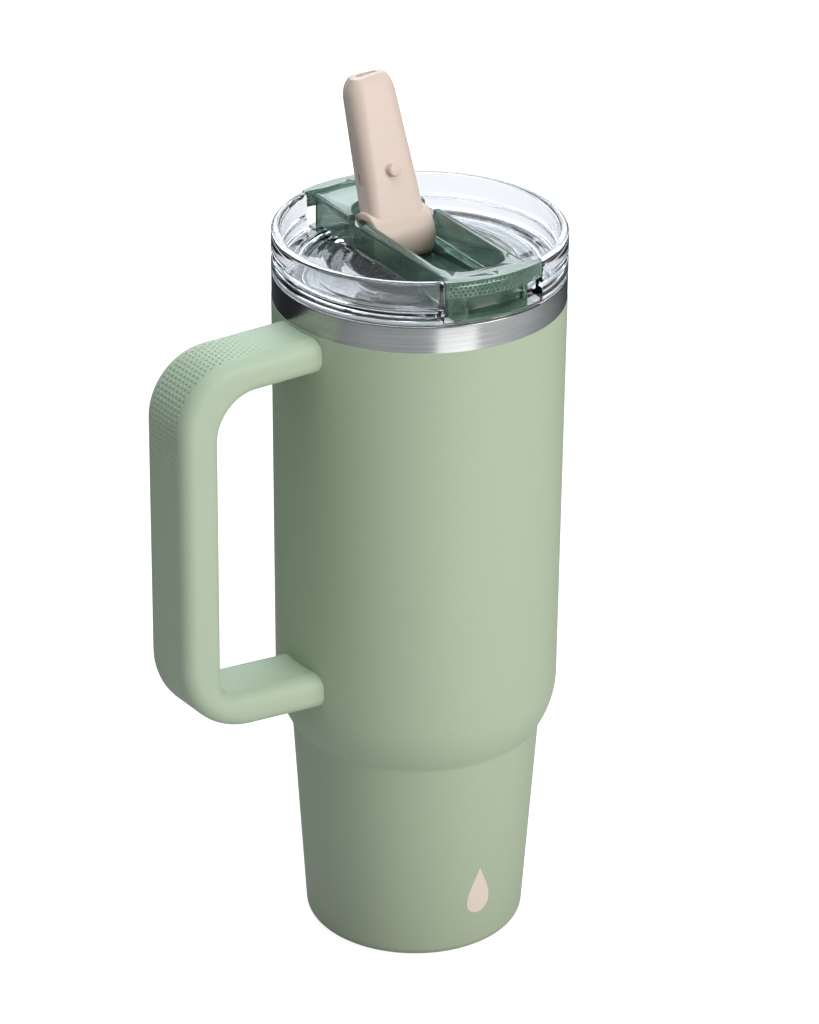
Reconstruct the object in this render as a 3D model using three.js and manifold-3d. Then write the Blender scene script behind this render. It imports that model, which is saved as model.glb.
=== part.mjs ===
// Insulated tumbler with a screw-on lid, a fold-down drinking spout and a side handle.
// Millimetres, +Z up, origin on the body's axis at the plane it stands on, handle towards -X.
import * as THREE from "three";
import { mergeVertices } from "three/addons/utils/BufferGeometryUtils.js";
import Module from "manifold-3d";

const wasm = await Module();
wasm.setup();

// ---------------------------------------------------------------- driving dimensions

const SEGMENTS = 48; // facets round each turned piece
const GAP = 0.3; // air left between pieces that touch or are bonded

// Body
const BODY_R = 45; // outer radius at the mouth
const LIP_Z = 223.1; // top of the steel lip
const BODY_TAPER = 0.7; // how much the upper body narrows on its way down to the shoulder
const BELT_Z = 87; // height where the upper body meets the shoulder
const SHOULDER_STEP = 5.2; // how far the shoulder brings the wall in
const SHOULDER_DROP = 16.7; // height of the shoulder
const FOOT_TAPER = 4.6; // how much the lower cone narrows down to the base
const FOOT_FILLET = 3.5; // round between the cone and the underside
const SHELL_WALL = 0.8; // outer steel wall
const LINER_WALL = 0.8; // inner steel wall
const VACUUM_GAP = 2.9; // evacuated space between the walls
const VACUUM_FLOOR = 3.2; // evacuated space under the liner's floor
const LIP_FLARE = 2.6; // height over which the liner flares out to the lip

// Base
const STANDING_RING = 5.1; // base edge to the cover plate, before the edge is rounded
const BASE_PLATE_THICK = 1.2;
const PAN_THICK = 0.9; // welded bottom of the outer shell
const PLUG_R = 3; // sealed evacuation port in the pan
const GETTER_R = 5; // getter pill on the underside of the liner
const GETTER_THICK = 1.2;

// Screw thread between the lid's skirt and the liner
const THREAD_LEAD = 8; // rise in one turn
const THREAD_STARTS = 2;
const THREAD_TURN = 0.5; // share of a turn that each ridge runs
const THREAD_DEPTH = 11.9; // lip down to the lowest point of the liner's ridges
const RIDGE_BASE = 1.5; // ridge width at its root
const RIDGE_CREST = 0.8; // ridge width at its crest
const RIDGE_HEIGHT = 1; // how far a ridge stands out of its wall
const RIDGE_ROOT = 0.4; // depth of a ridge's root inside its wall
const THREAD_PLAY = 0.5; // radial air between a crest and the wall across from it

// Lid
const LID_CLOCKING = -4.2; // degrees the tightened lid sits round from square to the handle
const LID_INSET = 0.1; // how far the clear ring sits inside the body's outside
const RING_LIFT = 0.4; // lip up to the clear ring's lower edge
const RING_H = 13.5; // height of the clear ring
const RIM_WALL = 2.8; // thickness of the ring at its rim
const RING_DRAFT = 0.6; // how much the ring's inner face closes in towards the floor
const FLANGE_H = 4.7; // lower band of the ring
const WAIST_H = 1.5; // groove between the two bands of the ring
const WAIST_DEPTH = 2;
const FLOOR_SINK = 11; // rim down to the clear floor
const FLOOR_THICK = 2;
const FLOOR_RINGS = 3; // raised rings on the floor
const FLOOR_RING_INSET = 6.1; // ring wall to the outermost raised ring's middle
const FLOOR_RING_PITCH = 7;
const FLOOR_RING_W = 2.4;
const FLOOR_RING_H = 0.7;
const FLOOR_RING_SLANT = 0.4; // run of a raised ring's sloping flanks
const SKIRT_DEPTH = 14.5; // lip down to the lower end of the threaded skirt
const SKIRT_WALL = 2.3;
const SEAL_DEPTH = 2.9; // lip down to the middle of the skirt's ring seal
const SEAL_SECTION = 2; // thickness of the skirt's ring seal
const SEAL_SQUEEZE = 0.6; // how much of the seal's section is pressed into its groove
const GASKET_THICK = 0.9;

// Bridge across the lid, with the channel that the spout folds into
const CHANNEL_HALF_W = 11.2;
const CHANNEL_END_WALL = 8.9; // lid's outside to the closed end of the channel
const CHANNEL_BACK = 12.5; // hub axis to the end of the channel behind it
const CHANNEL_CORNER = 9.5; // round of the channel's corners in plan
const FOLD_CLEARANCE = 0.7; // folded spout to the channel's floor
const BRIDGE_SINK = 1; // rim down to the bridge's top
const BRIDGE_MARGIN = 2.6; // channel's side to the bridge's edge
const BRIDGE_PLATE = 2;
const BRIDGE_SKIN = 1.5; // thickness of its walls
const END_WALL_MARGIN = 2.9; // how far the end walls run past the bridge's edges
const END_WALL_H = 5.1;
const END_WALL_THICK = 4.8;
const WINDOW_DEPTH = 6; // how far the windows in the ring reach past its wall
const FOOT_PLATE_DROP = 0.6; // clear floor down to the floor of the windows
const FOOT_PLATE_THICK = 1;
const SNAP_SLOT_W = 9; // slots in the bridge's top that the pivot pins drop through
const VENT_R = 3.3; // hole in the channel floor that takes the vent grommet
const PORT_BORE_R = 3.1; // drinking passage
const SPIGOT_R = 4.3; // tube under the channel that the straw lines up with
const SPIGOT_L = 7.9;
const HUB_SEAL_R = 6.2; // soft seal under the hub
const HUB_SEAL_SINK = 0.9; // how deep that seal sits in the bottom of the hub's pocket
const HUB_SEAL_WRAP = 1.6; // how far it climbs round the hub

// Spout
const HUB_Y = 15; // hub axis behind the lid's axis
const HUB_SINK = 8; // rim down to the hub axis
const HUB_R = 8.3;
const HUB_SIDE_PLAY = 1; // hub's end to the channel's side
const HUB_RECESS_WALL = 2.3; // rim left round the recess in each end of the hub
const HUB_RECESS_DEPTH = 1.6;
const SPOUT_LEAN = 20; // degrees past upright when it stands open
const TIP_CLEARANCE = 1.6; // tip of the folded spout to the channel's closed end
const SPOUT_SIDE_STEP = 0.8; // hub's end to the spout's side
const SPOUT_ROOT_FRONT = 6.6; // hub axis to the front face at the root
const SPOUT_ROOT_BACK = 5.8; // hub axis to the back face at the root
const SPOUT_TAPER_W = 3; // how much narrower the tip is than the root
const SPOUT_TIP_FRONT = 4.4;
const SPOUT_TIP_BACK = 5.8;
const SPOUT_TIP_ROUND = 6; // length over which the tip closes in
const SPOUT_TIP_SHARE = 0.62; // share of its section left at the very tip
const HEEL_REACH = 10; // stop block behind the spout, measured from the hub axis
const HEEL_H = 5.2;
const HEEL_W = 10.6;
const NUB_REACH = 19.2; // hub axis to the vent plug along the spout
const NUB_R = 1.9;
const NUB_H = 1.7; // how far the vent plug stands out
const NUB_STEM = 1.6; // how far its stem reaches into the spout
const PIN_R = 1.7; // pivot pins
const PIN_PLAY = 0.3;
const PIN_COVER = 0.8; // wall left over a pin's outer end
const PIN_ENGAGEMENT = 3; // how far a pin reaches into the hub

// Straw
const STRAW_R = 4.2;
const STRAW_WALL = 0.8;
const STRAW_LIFT = 6.6; // liner's floor up to the straw's end
const CONNECTOR_WALL = 1.4;
const CONNECTOR_L = 16.4;

// Handle
const HANDLE_REACH = 47.7; // body's outside to the grip's outer face
const HANDLE_THICK = 13.7;
const HANDLE_W = 22.4;
const HANDLE_DROP = 9.1; // lip down to the top of the handle
const HANDLE_LIFT = 4.2; // shoulder up to where the lower bend would touch bottom
const UPPER_ARM_THICK = 11.4;
const LOWER_ARM_THICK = 12.4;
const HANDLE_EDGE_R = 4.6; // round of the grip's long edges
const HANDLE_TOP_BEND = 20; // outer radius of the upper corner
const HANDLE_BOTTOM_BEND = 26; // outer radius of the lower corner
const LOWER_ARM_DIP = 5; // degrees the lower arm slopes down towards the body
const HANDLE_TOP_INNER = 13; // inner radius of the upper corner
const HANDLE_BOTTOM_INNER = 4.5; // inner radius of the lower corner
const LUG_L = 15; // steel lug that reaches into an arm
const LUG_W = 11;
const LUG_H = 5;
const SCREW_R = 1.5;
const SCREW_HEAD_R = 2.7;
const SCREW_HEAD_H = 1.6;
const SCREW_END_COVER = 0.8; // steel left over the end of a screw
const SCREW_CAP_H = 1;

// ---------------------------------------------------------------- places worked out from them

const BELT_R = BODY_R - BODY_TAPER;
const WAIST_R = BELT_R - SHOULDER_STEP;
const WAIST_Z = BELT_Z - SHOULDER_DROP;
const FOOT_R = WAIST_R - FOOT_TAPER;
const BASE_PLATE_R = FOOT_R - STANDING_RING;
const LINER_INSET = SHELL_WALL + VACUUM_GAP; // outer wall to the liner's outside
const BORE_INSET = LINER_INSET + LINER_WALL; // outer wall to the liner's inside
const MOUTH_BORE_R = BODY_R - BORE_INSET;
const PAN_Z = BASE_PLATE_THICK + GAP; // underside of the welded pan
const LINER_FLOOR_Z = PAN_Z + PAN_THICK + VACUUM_FLOOR; // underside of the liner
const LINER_THREAD_Z = LIP_Z - THREAD_DEPTH;

const LID_R = BODY_R - LID_INSET;
const RING_INNER_R = LID_R - RIM_WALL;
const RING_SEAT_Z = LIP_Z + RING_LIFT;
const RIM_Z = RING_SEAT_Z + RING_H;
const FLANGE_TOP_Z = RING_SEAT_Z + FLANGE_H;
const UPPER_BAND_Z = FLANGE_TOP_Z + WAIST_H;
const FLOOR_Z = RIM_Z - FLOOR_SINK;
const SKIRT_R = MOUTH_BORE_R - RIDGE_HEIGHT - THREAD_PLAY;
const SKIRT_BOTTOM_Z = LIP_Z - SKIRT_DEPTH;
const SEAL_Z = LIP_Z - SEAL_DEPTH;
const SEAL_GROOVE_R = SKIRT_R + THREAD_PLAY - SEAL_SECTION + SEAL_SQUEEZE;
const GASKET_Z = LIP_Z + GAP;
const GASKET_INNER_R = MOUTH_BORE_R + GAP;
const GASKET_OUTER_R = BODY_R - SHELL_WALL - 2 * GAP;

const BRIDGE_TOP_Z = RIM_Z - BRIDGE_SINK;
const BRIDGE_HALF_W = CHANNEL_HALF_W + BRIDGE_MARGIN;
const END_WALL_HALF_W = BRIDGE_HALF_W + END_WALL_MARGIN;
const CHANNEL_NEAR_Y = CHANNEL_END_WALL - LID_R;
const CHANNEL_BACK_Y = HUB_Y + CHANNEL_BACK;
const WINDOW_Y = RING_INNER_R - WINDOW_DEPTH;
const FOOT_PLATE_Z = FLOOR_Z - FOOT_PLATE_DROP;

const HUB_Z = RIM_Z - HUB_SINK;
const HUB_HALF_L = CHANNEL_HALF_W - HUB_SIDE_PLAY;
const HUB_RECESS_R = HUB_R - HUB_RECESS_WALL;
const HUB_POCKET_R = HUB_R + GAP;
const HUB_CUP_R = HUB_POCKET_R + BRIDGE_SKIN;
const HUB_SEAL_Z = HUB_Z - HUB_POCKET_R - HUB_SEAL_SINK;
const SPOUT_REACH = HUB_Y - CHANNEL_NEAR_Y - TIP_CLEARANCE;
const SPOUT_ROOT_W = 2 * (HUB_HALF_L - SPOUT_SIDE_STEP);
const SPOUT_TIP_W = SPOUT_ROOT_W - SPOUT_TAPER_W;
const VENT_Y = HUB_Y - NUB_REACH;
const CHANNEL_NEAR_FLOOR_Z = HUB_Z - SPOUT_TIP_FRONT - FOLD_CLEARANCE;
const CHANNEL_HUB_FLOOR_Z = HUB_Z - SPOUT_ROOT_FRONT - FOLD_CLEARANCE;
const FLOOR_SLOPE = (CHANNEL_NEAR_FLOOR_Z - CHANNEL_HUB_FLOOR_Z) / (HUB_Y - CHANNEL_NEAR_Y);
const channelFloor = (y) => CHANNEL_HUB_FLOOR_Z + FLOOR_SLOPE * (HUB_Y - y);
const WELL_BOTTOM_Z = channelFloor(CHANNEL_BACK_Y) - BRIDGE_SKIN - 1; // below all of the channel
const SPIGOT_END_Z = HUB_Z - HUB_POCKET_R - SPIGOT_L;
const CONNECTOR_TOP_Z = HUB_Z - HUB_CUP_R - GAP;
const STRAW_END_Z = LINER_FLOOR_Z + LINER_WALL + STRAW_LIFT;

const HANDLE_OUT_X = BODY_R + HANDLE_REACH;
const HANDLE_IN_X = HANDLE_OUT_X - HANDLE_THICK;
const HANDLE_TOP_Z = LIP_Z - HANDLE_DROP;
const HANDLE_BOTTOM_Z = BELT_Z + HANDLE_LIFT;

// ---------------------------------------------------------------- looks

const finish = (color, roughness, metalness = 0, opacity = 1) =>
  new THREE.MeshStandardMaterial({ color, roughness, metalness, opacity, transparent: opacity < 1 });
const POWDER_COAT = finish(0xa9b89e, 0.6);
const GRIP_PLASTIC = finish(0xb4c6aa, 0.55);
const STEEL = finish(0xb9bcc0, 0.3, 1);
const CLEAR = finish(0xeaf0f5, 0.05, 0, 0.35);
const TINTED = finish(0x5f7d6a, 0.15, 0, 0.7);
const BLUSH = finish(0xefdccd, 0.5);
const SILICONE = finish(0xe6e3dc, 0.7);
const GETTER_ALLOY = finish(0x6f7072, 0.6, 1);

// ---------------------------------------------------------------- geometry helpers

const radians = THREE.MathUtils.degToRad;
const point = (r, z) => new THREE.Vector2(r, z);

// Points on an arc in the (r, z) plane, angles in degrees from +r.
function arc(r, z, radius, from, to, steps) {
  const points = [];
  for (let i = 0; i <= steps; i++) {
    const a = radians(from + ((to - from) * i) / steps);
    points.push(point(r + radius * Math.cos(a), z + radius * Math.sin(a)));
  }
  return points;
}

// A closed geometry as a solid, its faces turned outwards if they aren't.
function solid(geometry) {
  const bare = geometry.clone();
  bare.deleteAttribute("normal");
  bare.deleteAttribute("uv");
  const merged = mergeVertices(bare, 1e-3);
  const vertProperties = new Float32Array(merged.attributes.position.array);
  const triVerts = new Uint32Array(merged.index.array);
  const make = () => new wasm.Manifold(new wasm.Mesh({ numProp: 3, vertProperties, triVerts }));
  const made = make();
  if (made.volume() > 0) return made;
  triVerts.reverse();
  return make();
}

const cut = (from, ...tools) => tools.reduce((rest, tool) => rest.subtract(tool), from);
const join = (first, ...others) => others.reduce((sum, other) => sum.add(other), first);

// A solid as a named mesh.
function part(name, made, material) {
  const { vertProperties, triVerts } = made.getMesh();
  const geometry = new THREE.BufferGeometry()
    .setAttribute("position", new THREE.BufferAttribute(vertProperties, 3))
    .setIndex(new THREE.BufferAttribute(triVerts, 1));
  geometry.computeVertexNormals();
  const mesh = new THREE.Mesh(geometry, material);
  mesh.name = name;
  return mesh;
}

// A profile of (r, z) points turned about Z: from axis to axis, or closed on itself.
function turned(profile, segments = SEGMENTS) {
  const geometry = new THREE.LatheGeometry(profile, segments);
  geometry.rotateX(Math.PI / 2);
  return solid(geometry);
}

// A ring of rectangular section about Z.
function ring(innerR, outerR, fromZ, toZ, segments = SEGMENTS) {
  const corners = [point(innerR, fromZ), point(outerR, fromZ), point(outerR, toZ), point(innerR, toZ)];
  return turned([...corners, point(innerR, fromZ)], segments);
}

// A cylinder about Z between two heights.
function disc(radius, fromZ, toZ, segments = SEGMENTS) {
  const geometry = new THREE.CylinderGeometry(radius, radius, toZ - fromZ, segments);
  geometry.rotateX(Math.PI / 2).translate(0, 0, (fromZ + toZ) / 2);
  return solid(geometry);
}

// A cylinder about X between two places.
function barAlongX(radius, fromX, toX, y, z, segments) {
  const geometry = new THREE.CylinderGeometry(radius, radius, toX - fromX, segments);
  geometry.rotateZ(Math.PI / 2).translate((fromX + toX) / 2, y, z);
  return solid(geometry);
}

// A box between two corners.
function block(x0, x1, y0, y1, z0, z1) {
  const geometry = new THREE.BoxGeometry(x1 - x0, y1 - y0, z1 - z0);
  geometry.translate((x0 + x1) / 2, (y0 + y1) / 2, (z0 + z1) / 2);
  return solid(geometry);
}

// A rectangle with rounded corners, as a shape.
function roundedRectangle(x0, x1, y0, y1, radius) {
  const shape = new THREE.Shape();
  const quarter = Math.PI / 2;
  shape.moveTo(x0 + radius, y0);
  shape.lineTo(x1 - radius, y0);
  shape.absarc(x1 - radius, y0 + radius, radius, -quarter, 0, false);
  shape.lineTo(x1, y1 - radius);
  shape.absarc(x1 - radius, y1 - radius, radius, 0, quarter, false);
  shape.lineTo(x0 + radius, y1);
  shape.absarc(x0 + radius, y1 - radius, radius, quarter, 2 * quarter, false);
  shape.lineTo(x0, y0 + radius);
  shape.absarc(x0 + radius, y0 + radius, radius, 2 * quarter, 3 * quarter, false);
  return shape;
}

// A shape raised between two heights.
function raised(shape, fromZ, toZ, curveSegments = 6) {
  const geometry = new THREE.ExtrudeGeometry(shape, {
    depth: toZ - fromZ,
    bevelEnabled: false,
    curveSegments,
  });
  return solid(geometry.translate(0, 0, fromZ));
}

// Rings of points joined side to side and capped at both ends.
function lofted(rings) {
  const count = rings[0].length;
  const positions = rings.flat().flatMap((p) => [p.x, p.y, p.z]);
  const index = [];
  for (let k = 0; k + 1 < rings.length; k++)
    for (let i = 0; i < count; i++) {
      const a = k * count + i;
      const b = k * count + ((i + 1) % count);
      index.push(a, b, b + count, a, b + count, a + count);
    }
  const last = (rings.length - 1) * count;
  for (let i = 1; i + 1 < count; i++) index.push(0, i + 1, i, last, last + i, last + i + 1);
  const geometry = new THREE.BufferGeometry()
    .setAttribute("position", new THREE.Float32BufferAttribute(positions, 3))
    .setIndex(index);
  return solid(geometry);
}

// One thread ridge: a trapezoid section carried up a helix. It stands outwards from rootR
// when side is 1 and inwards when side is -1.
function ridge(rootR, side, startZ, startAngle) {
  const steps = Math.round(SEGMENTS * THREAD_TURN);
  const rings = [];
  for (let i = 0; i <= steps; i++) {
    const a = radians(startAngle + (360 * THREAD_TURN * i) / steps);
    const z = startZ + (THREAD_LEAD * THREAD_TURN * i) / steps;
    const corner = (r, dz) => new THREE.Vector3(r * Math.cos(a), r * Math.sin(a), z + dz);
    const inset = (RIDGE_BASE - RIDGE_CREST) / 2;
    rings.push([
      corner(rootR - side * RIDGE_ROOT, 0),
      corner(rootR + side * RIDGE_HEIGHT, inset),
      corner(rootR + side * RIDGE_HEIGHT, inset + RIDGE_CREST),
      corner(rootR - side * RIDGE_ROOT, RIDGE_BASE),
    ]);
  }
  return lofted(rings);
}

// The ridges of a multi-start thread.
function thread(rootR, side, startZ, startAngle) {
  const starts = Array.from({ length: THREAD_STARTS }, (_, k) => startAngle + (360 * k) / THREAD_STARTS);
  return starts.map((angle) => ridge(rootR, side, startZ, angle));
}

// ---------------------------------------------------------------- body

const SHOULDER_R = ((BELT_Z - WAIST_Z) ** 2 + (BELT_R - WAIST_R) ** 2) / (2 * (BELT_R - WAIST_R));
const SHOULDER_SWEEP = THREE.MathUtils.radToDeg(Math.asin((BELT_Z - WAIST_Z) / SHOULDER_R));
const coneRadius = (z) => FOOT_R + ((WAIST_R - FOOT_R) * z) / WAIST_Z;

// The body's outline from the top of the base fillet to the mouth, set inwards by inset.
function bodyOutline(inset, fromZ, toZ) {
  return [
    point(coneRadius(fromZ) - inset, fromZ),
    ...arc(BELT_R - SHOULDER_R - inset, BELT_Z, SHOULDER_R, -SHOULDER_SWEEP, 0, 5),
    point(BODY_R - inset, toZ),
  ];
}

// The rounded corner between the underside at baseZ and the cone, set inwards by inset.
function footCorner(inset, baseZ, radius, steps = 4) {
  const wall = coneRadius(baseZ + radius) - inset;
  return arc(wall - radius, baseZ + radius, radius, -90, 0, steps);
}

function outerShell() {
  const foot = footCorner(0, 0, FOOT_FILLET);
  const inside = footCorner(SHELL_WALL, SHELL_WALL, FOOT_FILLET - SHELL_WALL);
  const edge = SHELL_WALL / 2; // rounded lip
  const profile = [
    point(BASE_PLATE_R + GAP, 0),
    ...foot,
    ...bodyOutline(0, FOOT_FILLET, LIP_Z - edge).slice(1),
    point(BODY_R - edge, LIP_Z),
    ...bodyOutline(SHELL_WALL, FOOT_FILLET, LIP_Z - edge).slice(1).reverse(),
    ...inside.reverse(),
    point(BASE_PLATE_R + GAP, SHELL_WALL),
    point(BASE_PLATE_R + GAP, 0),
  ];
  return part("outer_shell", turned(profile), POWDER_COAT);
}

function innerLiner() {
  const flareR = BODY_R - SHELL_WALL - GAP; // edge of the lip inside the shell
  const outerCorner = footCorner(LINER_INSET, LINER_FLOOR_Z, FOOT_FILLET + 2);
  const innerCorner = footCorner(BORE_INSET, LINER_FLOOR_Z + LINER_WALL, FOOT_FILLET + 1);
  const neckZ = LIP_Z - LIP_FLARE;
  const profile = [
    point(0, LINER_FLOOR_Z),
    ...outerCorner,
    ...bodyOutline(LINER_INSET, outerCorner.at(-1).y, neckZ).slice(1),
    point(flareR, LIP_Z - LINER_WALL),
    point(flareR, LIP_Z),
    point(MOUTH_BORE_R + LINER_WALL, LIP_Z),
    point(MOUTH_BORE_R, LIP_Z - LINER_WALL),
    ...bodyOutline(BORE_INSET, innerCorner.at(-1).y, neckZ).slice(1, -1).reverse(),
    ...innerCorner.reverse(),
    point(0, LINER_FLOOR_Z + LINER_WALL),
  ];
  const ridges = thread(MOUTH_BORE_R, -1, LINER_THREAD_Z, 0);
  return part("inner_liner", join(turned(profile), ...ridges), STEEL);
}

// Welded bottom of the shell, its sealed port, the getter and the cover plate under them.
function basePieces() {
  const panR = coneRadius(PAN_Z) - SHELL_WALL - FOOT_FILLET / 2;
  const pan = disc(panR, PAN_Z, PAN_Z + PAN_THICK);
  const port = disc(PLUG_R + GAP, PAN_Z - 1, PAN_Z + PAN_THICK + 1, 16);
  const getterTop = LINER_FLOOR_Z - GAP;
  return [
    part("shell_bottom", cut(pan, port), STEEL),
    part("vacuum_plug", disc(PLUG_R, PAN_Z, PAN_Z + PAN_THICK, 16), STEEL),
    part("getter", disc(GETTER_R, getterTop - GETTER_THICK, getterTop, 20), GETTER_ALLOY),
    part("base_plate", disc(BASE_PLATE_R, 0, BASE_PLATE_THICK), POWDER_COAT),
  ];
}

// ---------------------------------------------------------------- handle

const DIP_SLOPE = Math.tan(radians(LOWER_ARM_DIP));
const LOWER_DROP = (BODY_R + LUG_L / 2 - (HANDLE_OUT_X - HANDLE_BOTTOM_BEND)) * DIP_SLOPE;
const ARM_THICK = { upper: UPPER_ARM_THICK, lower: LOWER_ARM_THICK };
const ARM_MID = {
  upper: HANDLE_TOP_Z - UPPER_ARM_THICK / 2,
  lower: HANDLE_BOTTOM_Z + LOWER_DROP + LOWER_ARM_THICK / 2,
};
const BODY_SLOPE = (BODY_R - BELT_R) / (LIP_Z - BELT_Z);
const bodyRadius = (z) => BELT_R + BODY_SLOPE * (z - BELT_Z);

// One outline of the loop in the XZ plane: out along the upper arm, down the bar and back in.
function handleOutline(outX, topZ, bottomZ, topBend, bottomBend, steps) {
  const upper = arc(-outX + topBend, topZ - topBend, topBend, 90, 180, steps);
  const lower = arc(-outX + bottomBend, bottomZ + bottomBend, bottomBend, 180, 270 - LOWER_ARM_DIP, steps);
  const turn = lower.at(-1);
  return [point(0, topZ), ...upper, ...lower, point(0, turn.y + turn.x * DIP_SLOPE)];
}

// The loop: its outer and inner outlines lofted through a rounded section, then cut to the body.
function handleLoop() {
  const rings = [];
  const sectionSteps = 3;
  const steps = 6;
  const half = HANDLE_W / 2;
  const middleOut = handleOutline(
    HANDLE_OUT_X,
    HANDLE_TOP_Z,
    HANDLE_BOTTOM_Z,
    HANDLE_TOP_BEND,
    HANDLE_BOTTOM_BEND,
    steps,
  );
  const middleIn = handleOutline(
    HANDLE_IN_X,
    HANDLE_TOP_Z - UPPER_ARM_THICK,
    HANDLE_BOTTOM_Z + LOWER_ARM_THICK,
    HANDLE_TOP_INNER,
    HANDLE_BOTTOM_INNER,
    steps,
  );
  for (let i = 0; i < middleOut.length; i++) {
    const outside = middleOut[i];
    const inside = middleIn[i];
    const across = new THREE.Vector2().subVectors(inside, outside);
    const depth = across.length();
    across.normalize();
    const ringPoints = [];
    const corner = (y, d, from) => {
      for (let k = 0; k <= sectionSteps; k++) {
        const a = radians(from + (90 * k) / sectionSteps);
        const yy = y + HANDLE_EDGE_R * Math.cos(a);
        const dd = d + HANDLE_EDGE_R * Math.sin(a);
        ringPoints.push(new THREE.Vector3(outside.x + across.x * dd, yy, outside.y + across.y * dd));
      }
    };
    corner(half - HANDLE_EDGE_R, depth - HANDLE_EDGE_R, 0);
    corner(-half + HANDLE_EDGE_R, depth - HANDLE_EDGE_R, 90);
    corner(-half + HANDLE_EDGE_R, HANDLE_EDGE_R, 180);
    corner(half - HANDLE_EDGE_R, HANDLE_EDGE_R, 270);
    rings.push(ringPoints);
  }
  const bodyTool = turned([
    point(0, BELT_Z - 20),
    point(BELT_R + GAP, BELT_Z - 20),
    point(BELT_R + GAP, BELT_Z),
    point(bodyRadius(LIP_Z) + GAP, LIP_Z),
    point(0, LIP_Z),
  ]);
  return cut(lofted(rings), bodyTool);
}

// Everything that fixes one arm: a lug welded to the body, a screw up into it and the screw's cap.
function armFixing(name) {
  const z = ARM_MID[name];
  const rootX = GAP - bodyRadius(z);
  const tipX = rootX - LUG_L;
  const screwX = tipX + LUG_L / 3;
  const armUnder = z - ARM_THICK[name] / 2;
  const headZ = armUnder + SCREW_CAP_H + GAP;
  const shankZ = headZ + SCREW_HEAD_H;
  const topZ = z + LUG_H / 2 - SCREW_END_COVER;
  const lug = block(tipX, rootX, -LUG_W / 2, LUG_W / 2, z - LUG_H / 2, z + LUG_H / 2);
  const socket = block(
    tipX - GAP,
    0,
    -LUG_W / 2 - GAP,
    LUG_W / 2 + GAP,
    z - LUG_H / 2 - GAP,
    z + LUG_H / 2 + GAP,
  );
  const at = (made) => made.translate([screwX, 0, 0]);
  const bodyTool = disc(bodyRadius(z) + GAP, z - LUG_H, z + LUG_H);
  const screw = join(disc(SCREW_R, headZ, topZ, 12), disc(SCREW_HEAD_R, headZ, shankZ, 12));
  const screwRoom = join(
    disc(SCREW_R + GAP, headZ, topZ + GAP, 12),
    disc(SCREW_HEAD_R + GAP, armUnder - 2, shankZ + GAP, 12),
  );
  const cap = disc(SCREW_HEAD_R, armUnder, armUnder + SCREW_CAP_H, 12);
  return {
    room: join(socket, at(screwRoom)),
    pieces: [
      part("handle_lug_" + name, cut(lug, bodyTool, at(screwRoom)), STEEL),
      part("handle_screw_" + name, at(screw), STEEL),
      part("screw_cap_" + name, at(cap), GRIP_PLASTIC),
    ],
  };
}

function handlePieces() {
  const fixings = ["upper", "lower"].map(armFixing);
  const loop = cut(handleLoop(), ...fixings.map((f) => f.room));
  return [part("handle", loop, GRIP_PLASTIC), ...fixings.flatMap((f) => f.pieces)];
}

// ---------------------------------------------------------------- lid

// Plan of the channel, grown outwards by grow.
function channelPlan(grow) {
  const half = CHANNEL_HALF_W + grow;
  return roundedRectangle(-half, half, CHANNEL_NEAR_Y - grow, CHANNEL_BACK_Y + grow, CHANNEL_CORNER + grow);
}

// Everything below the channel's sloping floor, lowered by drop.
function belowFloor(drop) {
  const size = 3 * BODY_R;
  const geometry = new THREE.BoxGeometry(size, size, size);
  geometry.translate(0, 0, -size / 2).rotateX(-Math.atan(FLOOR_SLOPE));
  return solid(geometry.translate(0, HUB_Y, CHANNEL_HUB_FLOOR_Z - drop));
}

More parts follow.
